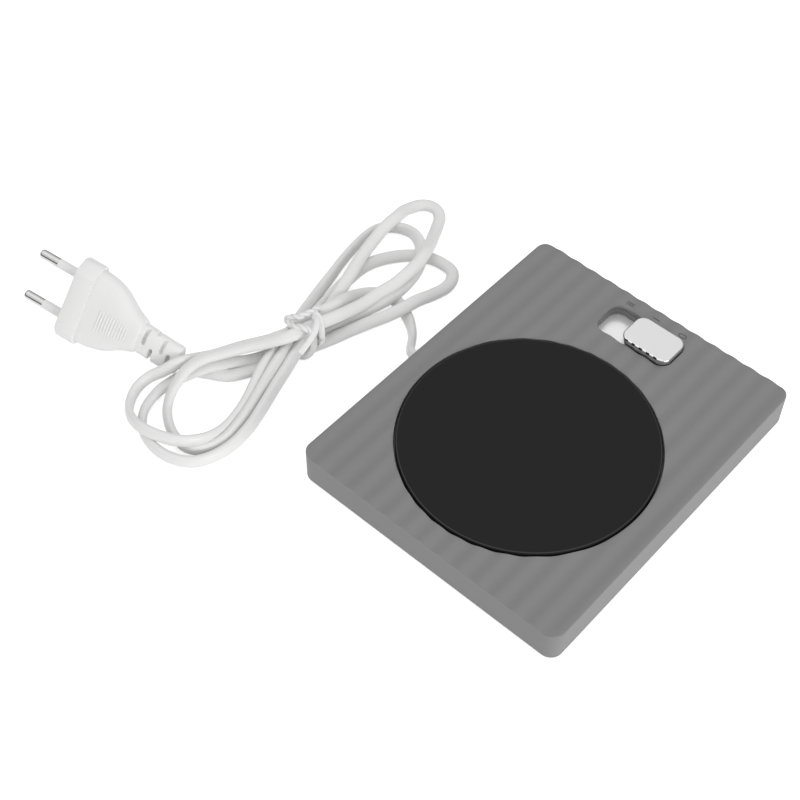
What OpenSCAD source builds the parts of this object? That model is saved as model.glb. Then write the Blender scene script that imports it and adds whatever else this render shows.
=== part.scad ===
// Electric mug warmer.
// A flat housing with a waved top carries a round heating plate on the left
// and a sliding O-I-II switch on the right. A flat mains lead leaves at the
// back, lies tied in a bow-shaped hank and ends in a two-pin plug.
// The origin is on the table under the middle of the housing, +Z is up.

/* [Housing] */
// Width of the housing from left to right
body_w = 145; // [142:0.5:156]
// Depth of the housing from front to back
body_d = 120; // [118:0.5:130]
// Height from the lower edge of the walls to the wave crests
body_h = 14.5; // [14.3:0.1:18]
// Radius of the upright corners
corner_r = 5; // [4:0.5:8]
// Thickness of the side walls
wall_t = 2.2; // [1.8:0.1:2.6]
// Thickness of the top under the wave troughs
roof_t = 1.76; // [1.5:0.02:2.2]
// Distance from one wave crest to the next
wave_pitch = 8.4; // [6:0.1:12]
// Height of a wave from trough to crest
wave_h = 0.48; // [0.2:0.02:0.8]
// Thickness of the stiffening ribs inside
rib_t = 1.4; // [1:0.1:2]

/* [Heating plate] */
// Width of the top between the left side and the plate's opening
plate_side = 9.65; // [9:0.05:12]
// Width of the top between the opening and the front and the back
plate_front = 9.75; // [9:0.05:12]
// Least width of the top between the opening and the slide guide
plate_web = 7.5; // [6.5:0.1:10]
// Thickness of the plate
plate_t = 3.4; // [3:0.1:3.8]
// Height of the plate above the mean level of the top
plate_proud = 0.55; // [0.2:0.05:1]
// Gap all round the plate
plate_gap = 0.6; // [0.4:0.05:1]
// Rounding of the plate's upper rim
plate_edge_r = 0.7; // [0.3:0.1:1]
// Width of the ledge that carries the plate
ledge_w = 3.7; // [3:0.1:4.5]
// Thickness of the ledge
ledge_t = 2; // [1.6:0.1:2.4]
// Wall of the collar round the plate
collar_t = 1.8; // [1.4:0.1:2.2]
// Diameter of the studs under the plate
stud_d = 4; // [3:0.5:4]
// Length of the studs
stud_l = 6.6; // [6.2:0.1:7]
// Distance of the studs' circle from the heater's rim
stud_inset = 13; // [10:0.5:15]
// Number of studs
stud_count = 3; // [3:1:4]

/* [Heater] */
// Thickness of the mica heater
heater_t = 0.8; // [0.5:0.1:1]
// Gap between the heater's rim and the ledge
heater_gap = 3.55; // [2.5:0.05:6]
// Inner radius of the heater, insulation and clamp plate
heater_hole_r = 14; // [13:0.5:15]
// Thickness of the clamp plate
clamp_t = 0.8; // [0.6:0.1:1]
// Diameter of the thermostat
thermostat_d = 16; // [14:0.5:16]
// Height of the thermostat
thermostat_h = 4.2; // [3.6:0.1:4.4]
// Diameter of the thermal fuse
fuse_d = 3.2; // [2.5:0.1:3.4]
// Length of the thermal fuse
fuse_l = 9; // [8:0.5:11]

/* [Slide switch] */
// Distance of the switch's centre line from the right side
slide_inset = 15.35; // [14.9:0.05:16]
// Width of the knob
knob_w = 15.1; // [14:0.1:15.6]
// Length of the knob
knob_l = 22.2; // [20:0.1:24]
// Corner radius of the knob
knob_r = 4.2; // [3:0.1:5]
// Height of the knob above the mean level of the top
knob_proud = 2.5; // [1.5:0.1:3.5]
// Wall of the hollow knob
knob_wall = 1.8; // [1.5:0.1:2]
// Gap between the knob and the slot at each side
knob_side_gap = 0.3; // [0.2:0.05:0.5]
// Gap between the knob and the slot at each end
knob_end_gap = 0.15; // [0.1:0.05:0.4]
// Step of the knob from one setting to the next
knob_step = 6; // [5:0.1:6.5]
// Rounding of the knob's upper edge
knob_edge_r = 0.7; // [0.4:0.1:1]
// Depth of the grip notches in the knob's edge
notch_depth = 0.4; // [0.2:0.1:0.6]
// Distance from one grip notch to the next
notch_pitch = 3.4; // [3:0.1:3.8]
// Thickness of the shutter sheet under the knob
sheet_t = 1.2; // [1:0.1:1.4]
// Width of the shutter sheet
sheet_w = 18; // [17.4:0.1:18.4]
// Lap of the shutter sheet past the slot
sheet_lap = 1.5; // [1:0.1:2]
// Running gap of the shutter sheet
run_gap = 0.15; // [0.1:0.05:0.2]
// Height of the switch body under its flange
switch_h = 3.81; // [3.5:0.01:4]
// Width of the slide guide
guide_w = 24; // [23.6:0.1:24.4]
// Chamfer round the slot
slot_chamfer = 0.4; // [0.2:0.05:0.6]
// Depth of the engraved signs
sign_depth = 0.25; // [0.15:0.05:0.4]
// Distance of the signs from the slot's centre line
sign_offset = 10.85; // [10:0.05:11.5]

/* [Base] */
// Height of the housing walls above the table
foot_gap = 1; // [0.8:0.1:1.5]
// Height of the base cover above the lower edge of the walls
base_inset = 0.3; // [0.2:0.1:0.5]
// Thickness of the base cover
base_t = 2; // [1.8:0.1:2.2]
// Fit of the base cover in the walls
base_fit = 0.2; // [0.1:0.05:0.3]
// Diameter of the rubber feet
foot_d = 12; // [10:0.5:14]
// Depth of the pockets that hold the feet
foot_pocket = 0.7; // [0.5:0.1:1]
// Width of the vent slots
vent_w = 2; // [1.5:0.1:2.4]
// Length of the vent slots
vent_l = 34; // [20:1:36]
// Number of vent slots
vent_count = 9; // [5:2:9]

/* [Mains lead] */
// Width of the flat lead
lead_w = 5.3; // [5:0.1:5.6]
// Thickness of the flat lead
lead_t = 3.5; // [3.2:0.1:3.6]
// Height of the hank at its tie
hank_h = 12.4; // [11:0.1:14]
// Diameter of the inner wires
wire_d = 1.2; // [1:0.1:1.3]

/* [Plug] */
// Length of a pin
pin_l = 19; // [18:0.5:19]
// Diameter of a pin
pin_d = 4; // [4:0.01:4.06]
// Distance between the pins where they leave the plug
pin_spacing = 18.6; // [18:0.1:19.2]
// Length of the sleeve on a pin
sleeve_l = 10; // [9:0.5:10]
// Wall of the sleeve
sleeve_t = 0.45; // [0.3:0.05:0.5]
// Width of the plug's face
face_w = 35.3; // [34:0.1:35.5]
// Thickness of the plug's face
face_h = 13.7; // [13:0.1:13.8]
// Thickness of the rim behind the face
rim_l = 8.6; // [7:0.1:9]
// Distance from one grip rib to the next
rib_pitch = 1.4; // [1.2:0.1:2]
// Number of grip ribs on each side
rib_count = 11; // [6:1:11]
// Width of the slots in the strain relief
relief_slot_w = 1.7; // [1.2:0.1:2]

/* [Hidden] */
$fn = 64;

switch_lift = 0.6;
flange_t = 1.2;

// Levels, from the table upwards
wall_z = foot_gap;
crest_z = wall_z + body_h;
mean_z = crest_z - wave_h / 2;
roof_z = crest_z - wave_h - roof_t;
base_z = wall_z + base_inset;
floor_z = base_z + base_t;
plate_top_z = mean_z + plate_proud;
plate_z = plate_top_z - plate_t;
ledge_z = plate_z - ledge_t;
heater_z = plate_z - heater_t;
clamp_top_z = ledge_z;
clamp_z = clamp_top_z - clamp_t;
switch_z = floor_z + switch_lift;
flange_z = switch_z + switch_h;
rail_z = flange_z + flange_t;
sheet_z = rail_z + run_gap;
sheet_top_z = sheet_z + sheet_t;
guide_z = sheet_top_z + run_gap;
guide_t = roof_z - guide_z;
knob_top_z = mean_z + knob_proud;

// Places in plan
slide_x = body_w / 2 - slide_inset;
opening_r = min((body_w / 2 + slide_x - guide_w / 2 - plate_web - plate_side) / 2, body_d / 2 - plate_front);
plate_x = opening_r + plate_side - body_w / 2;
plate_r = opening_r - plate_gap;
ledge_r = opening_r - ledge_w;
heater_r = ledge_r - heater_gap;
stud_circle_r = heater_r - stud_inset;
slot_w = knob_w + 2 * knob_side_gap;
travel = 2 * knob_step;
slot_l = knob_l + travel + 2 * knob_end_gap;
slot_r = knob_r + knob_side_gap;
knob_y = -knob_step;
sheet_l = slot_l + travel + 2 * sheet_lap;
rail_in = sheet_w / 2 + 0.2;
boss_r = 3.4;
boss_x = body_w / 2 - wall_t - 5.5;
boss_y = body_d / 2 - wall_t - 5.5;
foot_x = body_w / 2 - 20;
foot_y = body_d / 2 - 18;
foot_edge = 0.6;

// Screws, in millimetres
screw_r = 1.2;
screw_l = 8;
screw_play = 0.05;
screw_head_r = 2.7;
screw_head_h = 1;
small_screw_r = 0.9;
small_head_r = 1.8;
small_head_h = 1;
joint_gap = 0.05;
thread_end = 0.4;

// Guide ears and switch
guide_l = sheet_l + travel + 2.5;
ear_l = 7;
ear_t = 1.5;
ear_y = guide_l / 2 + ear_l / 2;
ear_x = guide_w / 2 - 4;
flange_l = 30;
switch_w = 13;
switch_l = 27;
switch_floor_t = 0.8;
lever_w = 3;
lever_l = 4;
lever_top_z = sheet_top_z + 2.2;
carriage_w = 8;
carriage_l = 8;
carriage_z = switch_z + switch_floor_t + 0.4;
carriage_top_z = flange_z - run_gap;
terminal_t = 0.3;
terminal_w = 3;
terminal_out = 3;
terminal_pitch = 8;
bridge_t = 0.4;
bridge_w = 5;
bridge_l = 7;

// Cord exit
gland_x = -4.8;
clamp_head_gap = 0.41;
cord_clamp_t = 1.8;
gland_z = roof_z - clamp_head_gap - small_head_h - cord_clamp_t - lead_w / 2;
gland_flange = 1.2;
gland_nose = 1.2;
sheath_end_y = body_d / 2 - 9.5;
cord_clamp_y = body_d / 2 - 5.4;
cord_clamp_l = 3.6;
cord_clamp_w = 19;
cord_screw_x = 6.6;

// Low-heat board
board_w = 20;
board_l = 14;
board_t = 1.2;
board_x = slide_x - 7.15;
board_y = body_d / 2 - wall_t - 9.5;
board_z = floor_z + 2.6;
board_post_r = 1.8;
leg_x = 5;

// Route of the lead from the gland to the hank, chosen by hand
mouth_y = body_d / 2 + gland_flange + gland_nose;
lead_route = [[gland_x, mouth_y, gland_z], [gland_x, mouth_y + 0.5, gland_z],
  [gland_x, mouth_y + 1, gland_z], [-4.2, 64.9, 7], [-2.6, 66.2, 6.3], [0.5, 69.4, 5.2],
  [4, 73, 4.2], [8, 77.5, 3.3], [10.5, 81, 2.8]];
// Route of the short tail from the hank to the plug
tail_route = [[-68.1, 132, 6.5], [-67.8, 130.5, 6], [-67.3, 128.8, 5.2], [-66.7, 127.4, 4.4],
  [-66, 126, 3.7]];
// Outline of the hank as seen from above, chosen by hand
hank_outline = [[-24, 96.5], [-36, 97], [-49, 94], [-64, 88], [-78, 85.5], [-92, 87.5], [-102, 95],
  [-104.5, 106], [-103.5, 118], [-97, 131.5], [-88, 137.5], [-80.5, 137], [-77.5, 133], [-75, 128.5],
  [-66, 127.3], [-58, 127], [-48, 124], [-38, 113.5], [-26, 112.5], [-8, 119], [10, 124], [28, 127],
  [44, 124], [60, 124], [68, 117], [65, 107.5], [54, 99], [47, 92], [45.5, 83], [38, 77.5], [24, 78.5],
  [10, 81.5], [-8, 90]];
hank_low_h = 9;
tie_x = -24;
tie_w = 3;
tie_t = 0.8;
tie_y = [95.5, 114];
tie_knot_r = 2;

// Place of the plug: middle of its face, tilt of the pins and turn about them
plug_at = [-78.3, 179.8, 16.7];
plug_turn = [-53.6, -10.6, 103];
// Grip and strain relief: distance behind the face, middle, half width and half height
grip = [[8.6, 0, 16.3, 5.9], [11, 0, 16.2, 5.9], [14, 0, 15.8, 5.8], [17, 0, 15.1, 5.8], [20, 0.1, 14.1, 5.7],
  [22.5, 0.2, 12.7, 5.6], [25, 0.3, 11, 5.4], [27.5, 0.4, 9.4, 5.2], [30, 0.5, 8.2, 5.1], [32, 0.6, 7.4, 4.9],
  [32.8, 0.6, 6.8, 4.6]];
relief = [[32, 0.6, 6.4, 4.2], [34, 0.7, 6.3, 4.1], [38, 1, 6.3, 4], [42, 1.3, 6.3, 3.8], [46, 1.4, 6.2, 3.6],
  [50.2, 1.4, 6.1, 3.4], [51.2, 1.4, 5.6, 3], [51.5, 1.4, 4.5, 2.3]];
// Distances behind the face of the slots across the relief's broad sides
broad_slots = [35.6, 43.7];
broad_slot_l = 7.2;
// Notches in the relief's narrow sides: distance behind the face, side, and inner end
side_notches = [[39.7, 1, 1.7], [39.7, -1, 5.2], [47.3, 1, 0.3]];
notch_out = 12;
relief_core = 4.4;
rib_start = 14;
rib_r = 0.4;

// ---------------------------------------------------------------- shapes

// Rectangle with round corners, about the origin
module rounded_rect(w, d, r) {
  square([w - 2 * r, d], center = true);
  square([w, d - 2 * r], center = true);
  for (sx = [-1, 1], sy = [-1, 1])
    translate([sx * (w / 2 - r), sy * (d / 2 - r)]) circle(r);
}

module rounded_block(w, d, h, r) {
  linear_extrude(h) rounded_rect(w, d, r);
}

// Block with round corners whose wall stands in by p[0] at the height p[1] for each p of
// the profile, which runs upwards
module profiled_block(w, d, r, profile) {
  n = len(profile);
  walls = [[w, d, [90, 0, 0]], [d, w, [90, 0, 90]]];
  for (wall = walls)
    rotate(wall[2])
      translate([0, 0, r - wall[1] / 2])
        linear_extrude(wall[1] - 2 * r)
          polygon(concat([for (p = profile) [wall[0] / 2 - p[0], p[1]]],
            [for (i = [n - 1 : -1 : 0]) [profile[i][0] - wall[0] / 2, profile[i][1]]]));
  at_corners(w / 2 - r, d / 2 - r)
    rotate_extrude()
      polygon(concat([[0, profile[0][1]]], [for (p = profile) [r - p[0], p[1]]], [[0, profile[n - 1][1]]]));
}

// Block with its lower face at z = 0, centred in plan
module block(w, d, h) {
  translate([-w / 2, -d / 2, 0]) cube([w, d, h]);
}

module ring(r_out, r_in, h) {
  difference() {
    cylinder(r = r_out, h = h);
    translate([0, 0, -1]) cylinder(r = r_in, h = h + 2);
  }
}

// Copies at the four corners of a rectangle
module at_corners(x, y) {
  for (sx = [-1, 1], sy = [-1, 1]) translate([sx * x, sy * y, 0]) children();
}

// Cap screw that points up, with the underside of its head at z = 0
module screw(r, l, head_r, head_h) {
  cylinder(r = r, h = l);
  translate([0, 0, -head_h]) cylinder(r = head_r, h = head_h);
}

function unit(v) = v / norm(v);

// Point on the smooth curve between p[i] and p[i + 1], t from 0 to 1
function curve_point(p, i, t) =
  let(a = p[max(i - 1, 0)], b = p[i], c = p[min(i + 1, len(p) - 1)], d = p[min(i + 2, len(p) - 1)])
  0.5 * (2 * b + (c - a) * t + (2 * a - 5 * b + 4 * c - d) * t * t + (3 * b - a - 3 * c + d) * t * t * t);

function smooth(p, steps) =
  concat([for (i = [0 : len(p) - 2], k = [0 : steps - 1]) curve_point(p, i, k / steps)], [p[len(p) - 1]]);

function smooth_ring(p, steps) =
  let(n = len(p), q = concat([p[n - 1]], p, [p[0], p[1]]))
  [for (i = [1 : n], k = [0 : steps - 1]) curve_point(q, i, k / steps)];

function heading(p, i) = unit(p[min(i + 1, len(p) - 1)] - p[max(i - 1, 0)]);

// Side vectors that follow a route without twisting
function sides_along(p, side, i = 0) =
  let(d = heading(p, i), s = unit(side - d * (side * d)))
  i == len(p) - 1 ? [s] : concat([s], sides_along(p, s, i + 1));

// Closed tube along a route; ra is its half size along side, rb across it
module tube(p, ra, rb, side, sides = 8) {
  n = len(p);
  s = sides_along(p, side);
  points = [for (i = [0 : n - 1]) let(u = s[i], v = cross(heading(p, i), u))
    for (k = [0 : sides - 1])
      p[i] + (is_list(ra) ? ra[i] : ra) * cos(360 * k / sides) * u
        + (is_list(rb) ? rb[i] : rb) * sin(360 * k / sides) * v];
  walls = [for (i = [0 : n - 2], k = [0 : sides - 1]) let(m = (k + 1) % sides)
    [i * sides + k, (i + 1) * sides + k, (i + 1) * sides + m, i * sides + m]];
  caps = [[for (k = [0 : sides - 1]) k], [for (k = [sides - 1 : -1 : 0]) (n - 1) * sides + k]];
  polyhedron(points = points, faces = concat(walls, caps), convexity = 6);
}

// --------------------------------------------------------------- housing

// Solid under the waves, open to the sides
module wave_prism() {
  steps = 8 * ceil(body_d / wave_pitch);
  top = [for (i = [0 : steps]) let(y = body_d * (i / steps - 0.5))
    [y, mean_z + wave_h / 2 * cos(360 * y / wave_pitch)]];
  rotate([90, 0, 90])
    translate([0, 0, -body_w / 2 - 1])
      linear_extrude(body_w + 2)
        polygon(concat([[body_d / 2, wall_z], [-body_d / 2, wall_z]], top));
}

module slot_shape() {
  rounded_rect(slot_w, slot_l, slot_r);
}

module sign_o() {
  difference() {
    rounded_rect(2, 3.4, 0.9);
    rounded_rect(1.1, 2.5, 0.5);
  }
}

module sign_bar() {
  square([0.45, 2.9], center = true);
}

// Signs beside the slot, at the knob's three settings
module signs() {
  sign_step = 2 * knob_step + 0.6;
  translate([slide_x + sign_offset, -sign_step, 0]) sign_o();
  translate([slide_x + sign_offset, 0, 0]) sign_bar();
  for (side = [-0.5, 0.5])
    translate([slide_x + sign_offset + side, sign_step, 0]) sign_bar();
}

module gland_hole_shape(extra = 0) {
  rounded_rect(6.2 + 2 * extra, 7.6 + 2 * extra, 2 + extra);
}

// Turns a flat shape to stand across the depth, and carries it to the gland
module at_gland(y) {
  translate([gland_x, y, gland_z]) rotate([90, 0, 0]) children();
}

module top_housing() color("#86888a") {
  inner_w = body_w - 2 * wall_t;
  inner_d = body_d - 2 * wall_t;
  inner_r = corner_r - wall_t;
  difference() {
    union() {
      // Outer shell with the plate's collar and ledge
      difference() {
        intersection() {
          translate([0, 0, wall_z]) rounded_block(body_w, body_d, body_h, corner_r);
          wave_prism();
        }
        translate([0, 0, wall_z - 1])
          rounded_block(inner_w, inner_d, roof_z - wall_z + 1, inner_r);
        translate([plate_x, 0, roof_z - 1]) cylinder(r = opening_r, h = body_h);
        translate([slide_x, 0, 0])
          profiled_block(slot_w, slot_l, slot_r,
            [[0, roof_z - 1], [0, mean_z - slot_chamfer], [-slot_chamfer - 1, mean_z + 1]]);
        translate([0, 0, mean_z - wave_h / 2 - sign_depth]) linear_extrude(body_h) signs();
      }
      translate([plate_x, 0, ledge_z]) ring(opening_r + collar_t, ledge_r, ledge_t);
      translate([plate_x, 0, plate_z]) ring(opening_r + collar_t, opening_r, roof_z - plate_z);
      // Bosses for the base screws
      at_corners(boss_x, boss_y)
        translate([0, 0, floor_z]) cylinder(r = boss_r, h = roof_z - floor_z);
      // Ribs from the bosses to the side walls
      for (sx = [-1, 1], sy = [-1, 1])
        translate([sx * (boss_x + boss_r / 2 + 1.6), sy * boss_y, floor_z + 2])
          block(boss_r + 1, rib_t, roof_z - floor_z - 2);
      // Bosses for the slide guide
      for (sx = [-1, 1], sy = [-1, 1])
        translate([slide_x + sx * ear_x, sy * ear_y, guide_z]) cylinder(r = 2.4, h = guide_t);
      // Ribs behind the collar
      for (angle = [100, 140, 180, 220, 260])
        rotate_about_plate(angle)
          translate([opening_r + collar_t / 2, -rib_t / 2, ledge_z])
            cube([4.6, rib_t, roof_z - ledge_z]);
    }
    at_corners(boss_x, boss_y)
      translate([0, 0, floor_z - 1]) cylinder(r = screw_r + screw_play, h = screw_l + 0.5);
    for (sx = [-1, 1], sy = [-1, 1])
      translate([slide_x + sx * ear_x, sy * ear_y, guide_z - 1])
        cylinder(r = small_screw_r + screw_play, h = guide_t + 0.8);
    at_gland(body_d / 2 + 1) linear_extrude(wall_t + 2) gland_hole_shape();
  }
}

module rotate_about_plate(angle) {
  translate([plate_x, 0, 0]) rotate([0, 0, angle]) children();
}

// ------------------------------------------------------------------ base

module base_cover() color("#747678") {
  w = body_w - 2 * (wall_t + base_fit);
  d = body_d - 2 * (wall_t + base_fit);
  r = corner_r - wall_t - base_fit;
  difference() {
    union() {
      translate([0, 0, base_z]) rounded_block(w, d, base_t, r);
      // Rib frame that stiffens the cover under the heater
      translate([plate_x, 0, floor_z]) ring(heater_r + 2, heater_r + 0.6, 0.6);
      // Posts of the low-heat board
      for (sx = [-1, 1])
        translate([board_x + sx * (board_w / 2 - 2.4), board_y, floor_z])
          cylinder(r = board_post_r, h = board_z - floor_z);
      // Cradle under the lead and posts of its clamp
      translate([gland_x, cord_clamp_y, base_z + base_t / 2])
        block(lead_t + 1, cord_clamp_l, gland_z - lead_w / 2 - base_z - base_t / 2);
      for (sx = [-1, 1])
        translate([gland_x + sx * cord_screw_x, cord_clamp_y, floor_z])
          block(4.6, cord_clamp_l, gland_z + lead_w / 2 - floor_z);
      // Pad under the switch
      translate([slide_x, 0, floor_z]) block(switch_w - 2, switch_l - 4, switch_z - floor_z);
    }
    at_corners(boss_x, boss_y) {
      translate([0, 0, base_z - 1]) cylinder(r = screw_r + 0.3, h = base_t + 2);
      translate([0, 0, base_z - 1]) cylinder(r = screw_head_r + 0.3, h = 1 + screw_head_h + 0.2);
    }
    at_corners(foot_x, foot_y)
      translate([0, 0, base_z - 1]) cylinder(d = foot_d + 0.1, h = foot_pocket + 1);
    for (i = [0 : vent_count - 1])
      translate([plate_x, (i - (vent_count - 1) / 2) * 3 * vent_w, base_z - 1])
        rounded_block(vent_l, vent_w, base_t + 2, vent_w / 2 - 0.01);
    for (sx = [-1, 1])
      translate([gland_x + sx * cord_screw_x, cord_clamp_y, floor_z])
        cylinder(r = small_screw_r + screw_play, h = gland_z);
  }
}

module base_screws() color("silver") {
  at_corners(boss_x, boss_y)
    translate([0, 0, base_z + screw_head_h + 0.2])
      difference() {
        screw(screw_r, screw_l, screw_head_r, screw_head_h);
        for (a = [0, 90])
          rotate([0, 0, a]) translate([0, 0, -screw_head_h - 1]) block(3, 0.7, 1.6);
      }
}

module rubber_feet() color("#3a3a3a") {
  h = base_z + foot_pocket;
  at_corners(foot_x, foot_y)
    rotate_extrude()
      polygon([[0, 0], [foot_d / 2 - foot_edge, 0], [foot_d / 2 - foot_edge / 4, foot_edge * 0.4],
        [foot_d / 2, foot_edge * 1.1], [foot_d / 2, h], [0, h]]);
}

// --------------------------------------------------------- heating plate

module at_studs() {
  for (i = [0 : stud_count - 1])
    rotate_about_plate(360 * i / stud_count + 30) translate([stud_circle_r, 0, 0]) children();
}

module heating_plate() color("#2c2c2e") {
  r = plate_r;
  e = plate_edge_r;
  rim = [for (i = [0 : 6]) [r - e + e * sin(15 * i), plate_top_z - e + e * cos(15 * i)]];
  translate([plate_x, 0, 0])
    rotate_extrude($fn = 128)
      polygon(concat([[0, plate_z], [0, plate_top_z]], rim, [[r, plate_z]]));
  at_studs() translate([0, 0, plate_z - stud_l]) cylinder(d = stud_d, h = stud_l + plate_t / 2);
}

// Places where the heater's tabs pass down to the wires
tab_at = [plate_x + heater_hole_r + 10, heater_hole_r / 2];
tab_hole_r = 2.4;

module at_tabs() {
  for (sy = [-1, 1]) translate([tab_at[0], sy * tab_at[1], 0]) children();
}

module layer(r, z, h) {
  translate([plate_x, 0, z])
    difference() {
      cylinder(r = r, h = h);
      translate([0, 0, -1]) cylinder(r = heater_hole_r, h = h + 2);
    }
}

module stud_holes(z) {
  at_studs() translate([0, 0, z]) cylinder(d = stud_d + 0.4, h = 4);
}

module heater_element() color("#b9a77c") {
  difference() {
    layer(heater_r, heater_z, heater_t);
    stud_holes(heater_z - 1);
  }
  at_tabs() translate([0, 0, clamp_z - 2.4]) block(0.6, 3, heater_z - clamp_z + 2.4);
}

module insulation_pad() color("#dcdcd4") {
  difference() {
    layer(heater_r, clamp_top_z, heater_z - clamp_top_z);
    stud_holes(clamp_top_z - 1);
    at_tabs() translate([0, 0, clamp_top_z - 1]) cylinder(r = tab_hole_r, h = 5);
  }
}

// Steel plate whose ears reach under the ledge and pull the heater up
module clamp_plate() color("#b8babc") {
  ear_r = ledge_r + 2.6;
  difference() {
    union() {
      layer(heater_r, clamp_z, clamp_t);
      for (angle = [30, 150, 270])
        rotate_about_plate(angle)
          intersection() {
            translate([heater_r - 2, -7, clamp_z]) cube([10, 14, clamp_t]);
            translate([0, 0, clamp_z]) cylinder(r = ear_r, h = clamp_t);
          }
    }
    stud_holes(clamp_z - 1);
    at_tabs() translate([0, 0, clamp_z - 1]) cylinder(r = tab_hole_r, h = 5);
  }
}

module clamp_nuts() color("silver") {
  nut_h = 2.6;
  washer_h = 0.5;
  at_studs() {
    translate([0, 0, clamp_z - washer_h]) ring(4.2, stud_d / 2 + joint_gap, washer_h);
    translate([0, 0, clamp_z - washer_h - nut_h])
      difference() {
        cylinder(r = 4, h = nut_h, $fn = 6);
        translate([0, 0, -1]) cylinder(d = stud_d + 2 * joint_gap, h = nut_h + 2);
      }
  }
}

thermostat_cap_h = 1.2;
strap_w = 6;
strap_t = 0.5;
strap_foot = 5;

module thermostat() color("#cfc9b8") {
  translate([plate_x, 0, plate_z - thermostat_h]) {
    cylinder(d = thermostat_d - 2, h = thermostat_h - thermostat_cap_h);
    translate([0, 0, thermostat_h - thermostat_cap_h])
      cylinder(d = thermostat_d, h = thermostat_cap_h);
  }
  for (sy = [-1, 1])
    translate([plate_x, sy * (thermostat_d / 2 + 0.5), plate_z - thermostat_h + 1])
      block(3, 5, 0.5);
}

// Spring strap that presses the thermostat against the plate
module thermostat_strap() color("silver") {
  z = plate_z - thermostat_h;
  t = strap_t;
  foot_x_in = heater_hole_r + 1.5;
  translate([plate_x, 0, 0]) {
    translate([0, 0, z - t]) block(2 * foot_x_in, strap_w, t);
    for (sx = [-1, 1]) {
      translate([sx * (foot_x_in + t / 2), 0, z - t]) block(t, strap_w, clamp_z - z + t);
      translate([sx * (foot_x_in + strap_foot / 2 + t), 0, clamp_z - t]) block(strap_foot, strap_w, t);
    }
  }
}

fuse_at = [plate_x - heater_hole_r - 14, 0];
fuse_wire = 4;
fuse_z = clamp_z - fuse_d / 2;

module thermal_fuse() color("#d8d4c8") {
  translate([fuse_at[0], 0, fuse_z])
    rotate([90, 0, 0]) {
      translate([0, 0, -fuse_l / 2]) cylinder(d = fuse_d, h = fuse_l);
      translate([0, 0, -fuse_l / 2 - fuse_wire]) cylinder(r = 0.5, h = fuse_l + 2 * fuse_wire);
    }
}

// Saddle that holds the fuse against the clamp plate
module fuse_clip() color("silver") {
  t = 0.4;
  r = fuse_d / 2 + joint_gap;
  translate([fuse_at[0], 0, fuse_z])
    rotate([90, 0, 0])
      translate([0, 0, -2])
        linear_extrude(4) {
          difference() {
            circle(r + t);
            circle(r);
            translate([-5, 0]) square([10, 5]);
          }
          for (sx = [-1, 1]) {
            translate([sx * (r + t / 2) - t / 2, 0]) square([t, fuse_d / 2]);
            translate([sx * (r + 1.8) - 1.8, fuse_d / 2 - t]) square([3.6, t]);
          }
        }
}

// ---------------------------------------------------------- slide switch

module slide_guide() color("#8a8c8e") {
  difference() {
    translate([slide_x, 0, 0]) {
      translate([0, 0, guide_z]) block(guide_w, guide_l, guide_t);
      for (sx = [-1, 1])
        translate([sx * (guide_w / 2 + rail_in) / 2, 0, rail_z])
          block(guide_w / 2 - rail_in, guide_l, guide_z - rail_z);
      // End walls that stop the sheet
      for (sy = [-1, 1]) {
        translate([0, sy * (guide_l / 2 - 0.5), rail_z]) block(guide_w, 1, guide_z - rail_z);
        for (sx = [-1, 1])
          translate([sx * ear_x, sy * (ear_y - 0.5), guide_z - ear_t])
            block(6.4, ear_l + 1, ear_t);
      }
    }
    translate([slide_x, 0, guide_z - 1]) linear_extrude(guide_t + 2) slot_shape();
    for (sx = [-1, 1], sy = [-1, 1])
      translate([slide_x + sx * ear_x, sy * ear_y, guide_z - ear_t - 1])
        cylinder(r = small_screw_r + 0.2, h = ear_t + 2);
    for (sx = [-1, 1], sy = [-1, 1])
      translate([slide_x + sx * switch_screw_x, sy * switch_screw_y, rail_z - 1])
        cylinder(r = small_screw_r + screw_play, h = switch_screw_in + 1 + thread_end);
  }
}

switch_screw_in = roof_z - rail_z - 1.15;
switch_screw_x = guide_w / 2 - 1.45;
switch_screw_y = flange_l / 2 - 3;

module guide_screws() color("silver") {
  for (sx = [-1, 1], sy = [-1, 1])
    translate([slide_x + sx * ear_x, sy * ear_y, guide_z - ear_t])
      screw(small_screw_r, ear_t + guide_t - thread_end, small_head_r, small_head_h);
}

// Chromed knob with its shutter sheet, in one piece
module slider_knob() color("#dcdcdc") {
  translate([slide_x, knob_y, 0])
    difference() {
      union() {
        translate([0, 0, sheet_z]) rounded_block(sheet_w, sheet_l, sheet_t, 1.5);
        profiled_block(knob_w, knob_l, knob_r, concat([[0, sheet_top_z]],
          [for (a = [0 : 18 : 90]) [knob_edge_r * (1 - cos(a)), knob_top_z - knob_edge_r * (1 - sin(a))]]));
      }
      difference() {
        translate([0, 0, sheet_z - 1])
          rounded_block(knob_w - 2 * knob_wall, knob_l - 2 * knob_wall,
            knob_top_z - knob_wall - sheet_z + 1, knob_r - knob_wall);
        translate([0, 0, sheet_z - 2]) block(lever_w + 3, lever_l + 3, knob_top_z);
      }
      translate([0, 0, sheet_z - 1])
        block(lever_w + 2 * joint_gap, lever_l + 2 * joint_gap, lever_top_z + joint_gap - sheet_z + 1);
      // Grip notches along the knob's inner edge
      for (i = [-2 : 2])
        translate([-knob_w / 2, i * notch_pitch, knob_top_z - notch_depth])
          block(2 * notch_depth, 1, 2 * notch_depth);
    }
}

module terminal_shapes() {
  for (i = [-1 : 1])
    translate([slide_x - switch_w / 2 - terminal_out, i * terminal_pitch - terminal_w / 2,
        switch_z + switch_floor_t])
      cube([terminal_out + switch_w / 2 + 2, terminal_w, terminal_t]);
}

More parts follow.
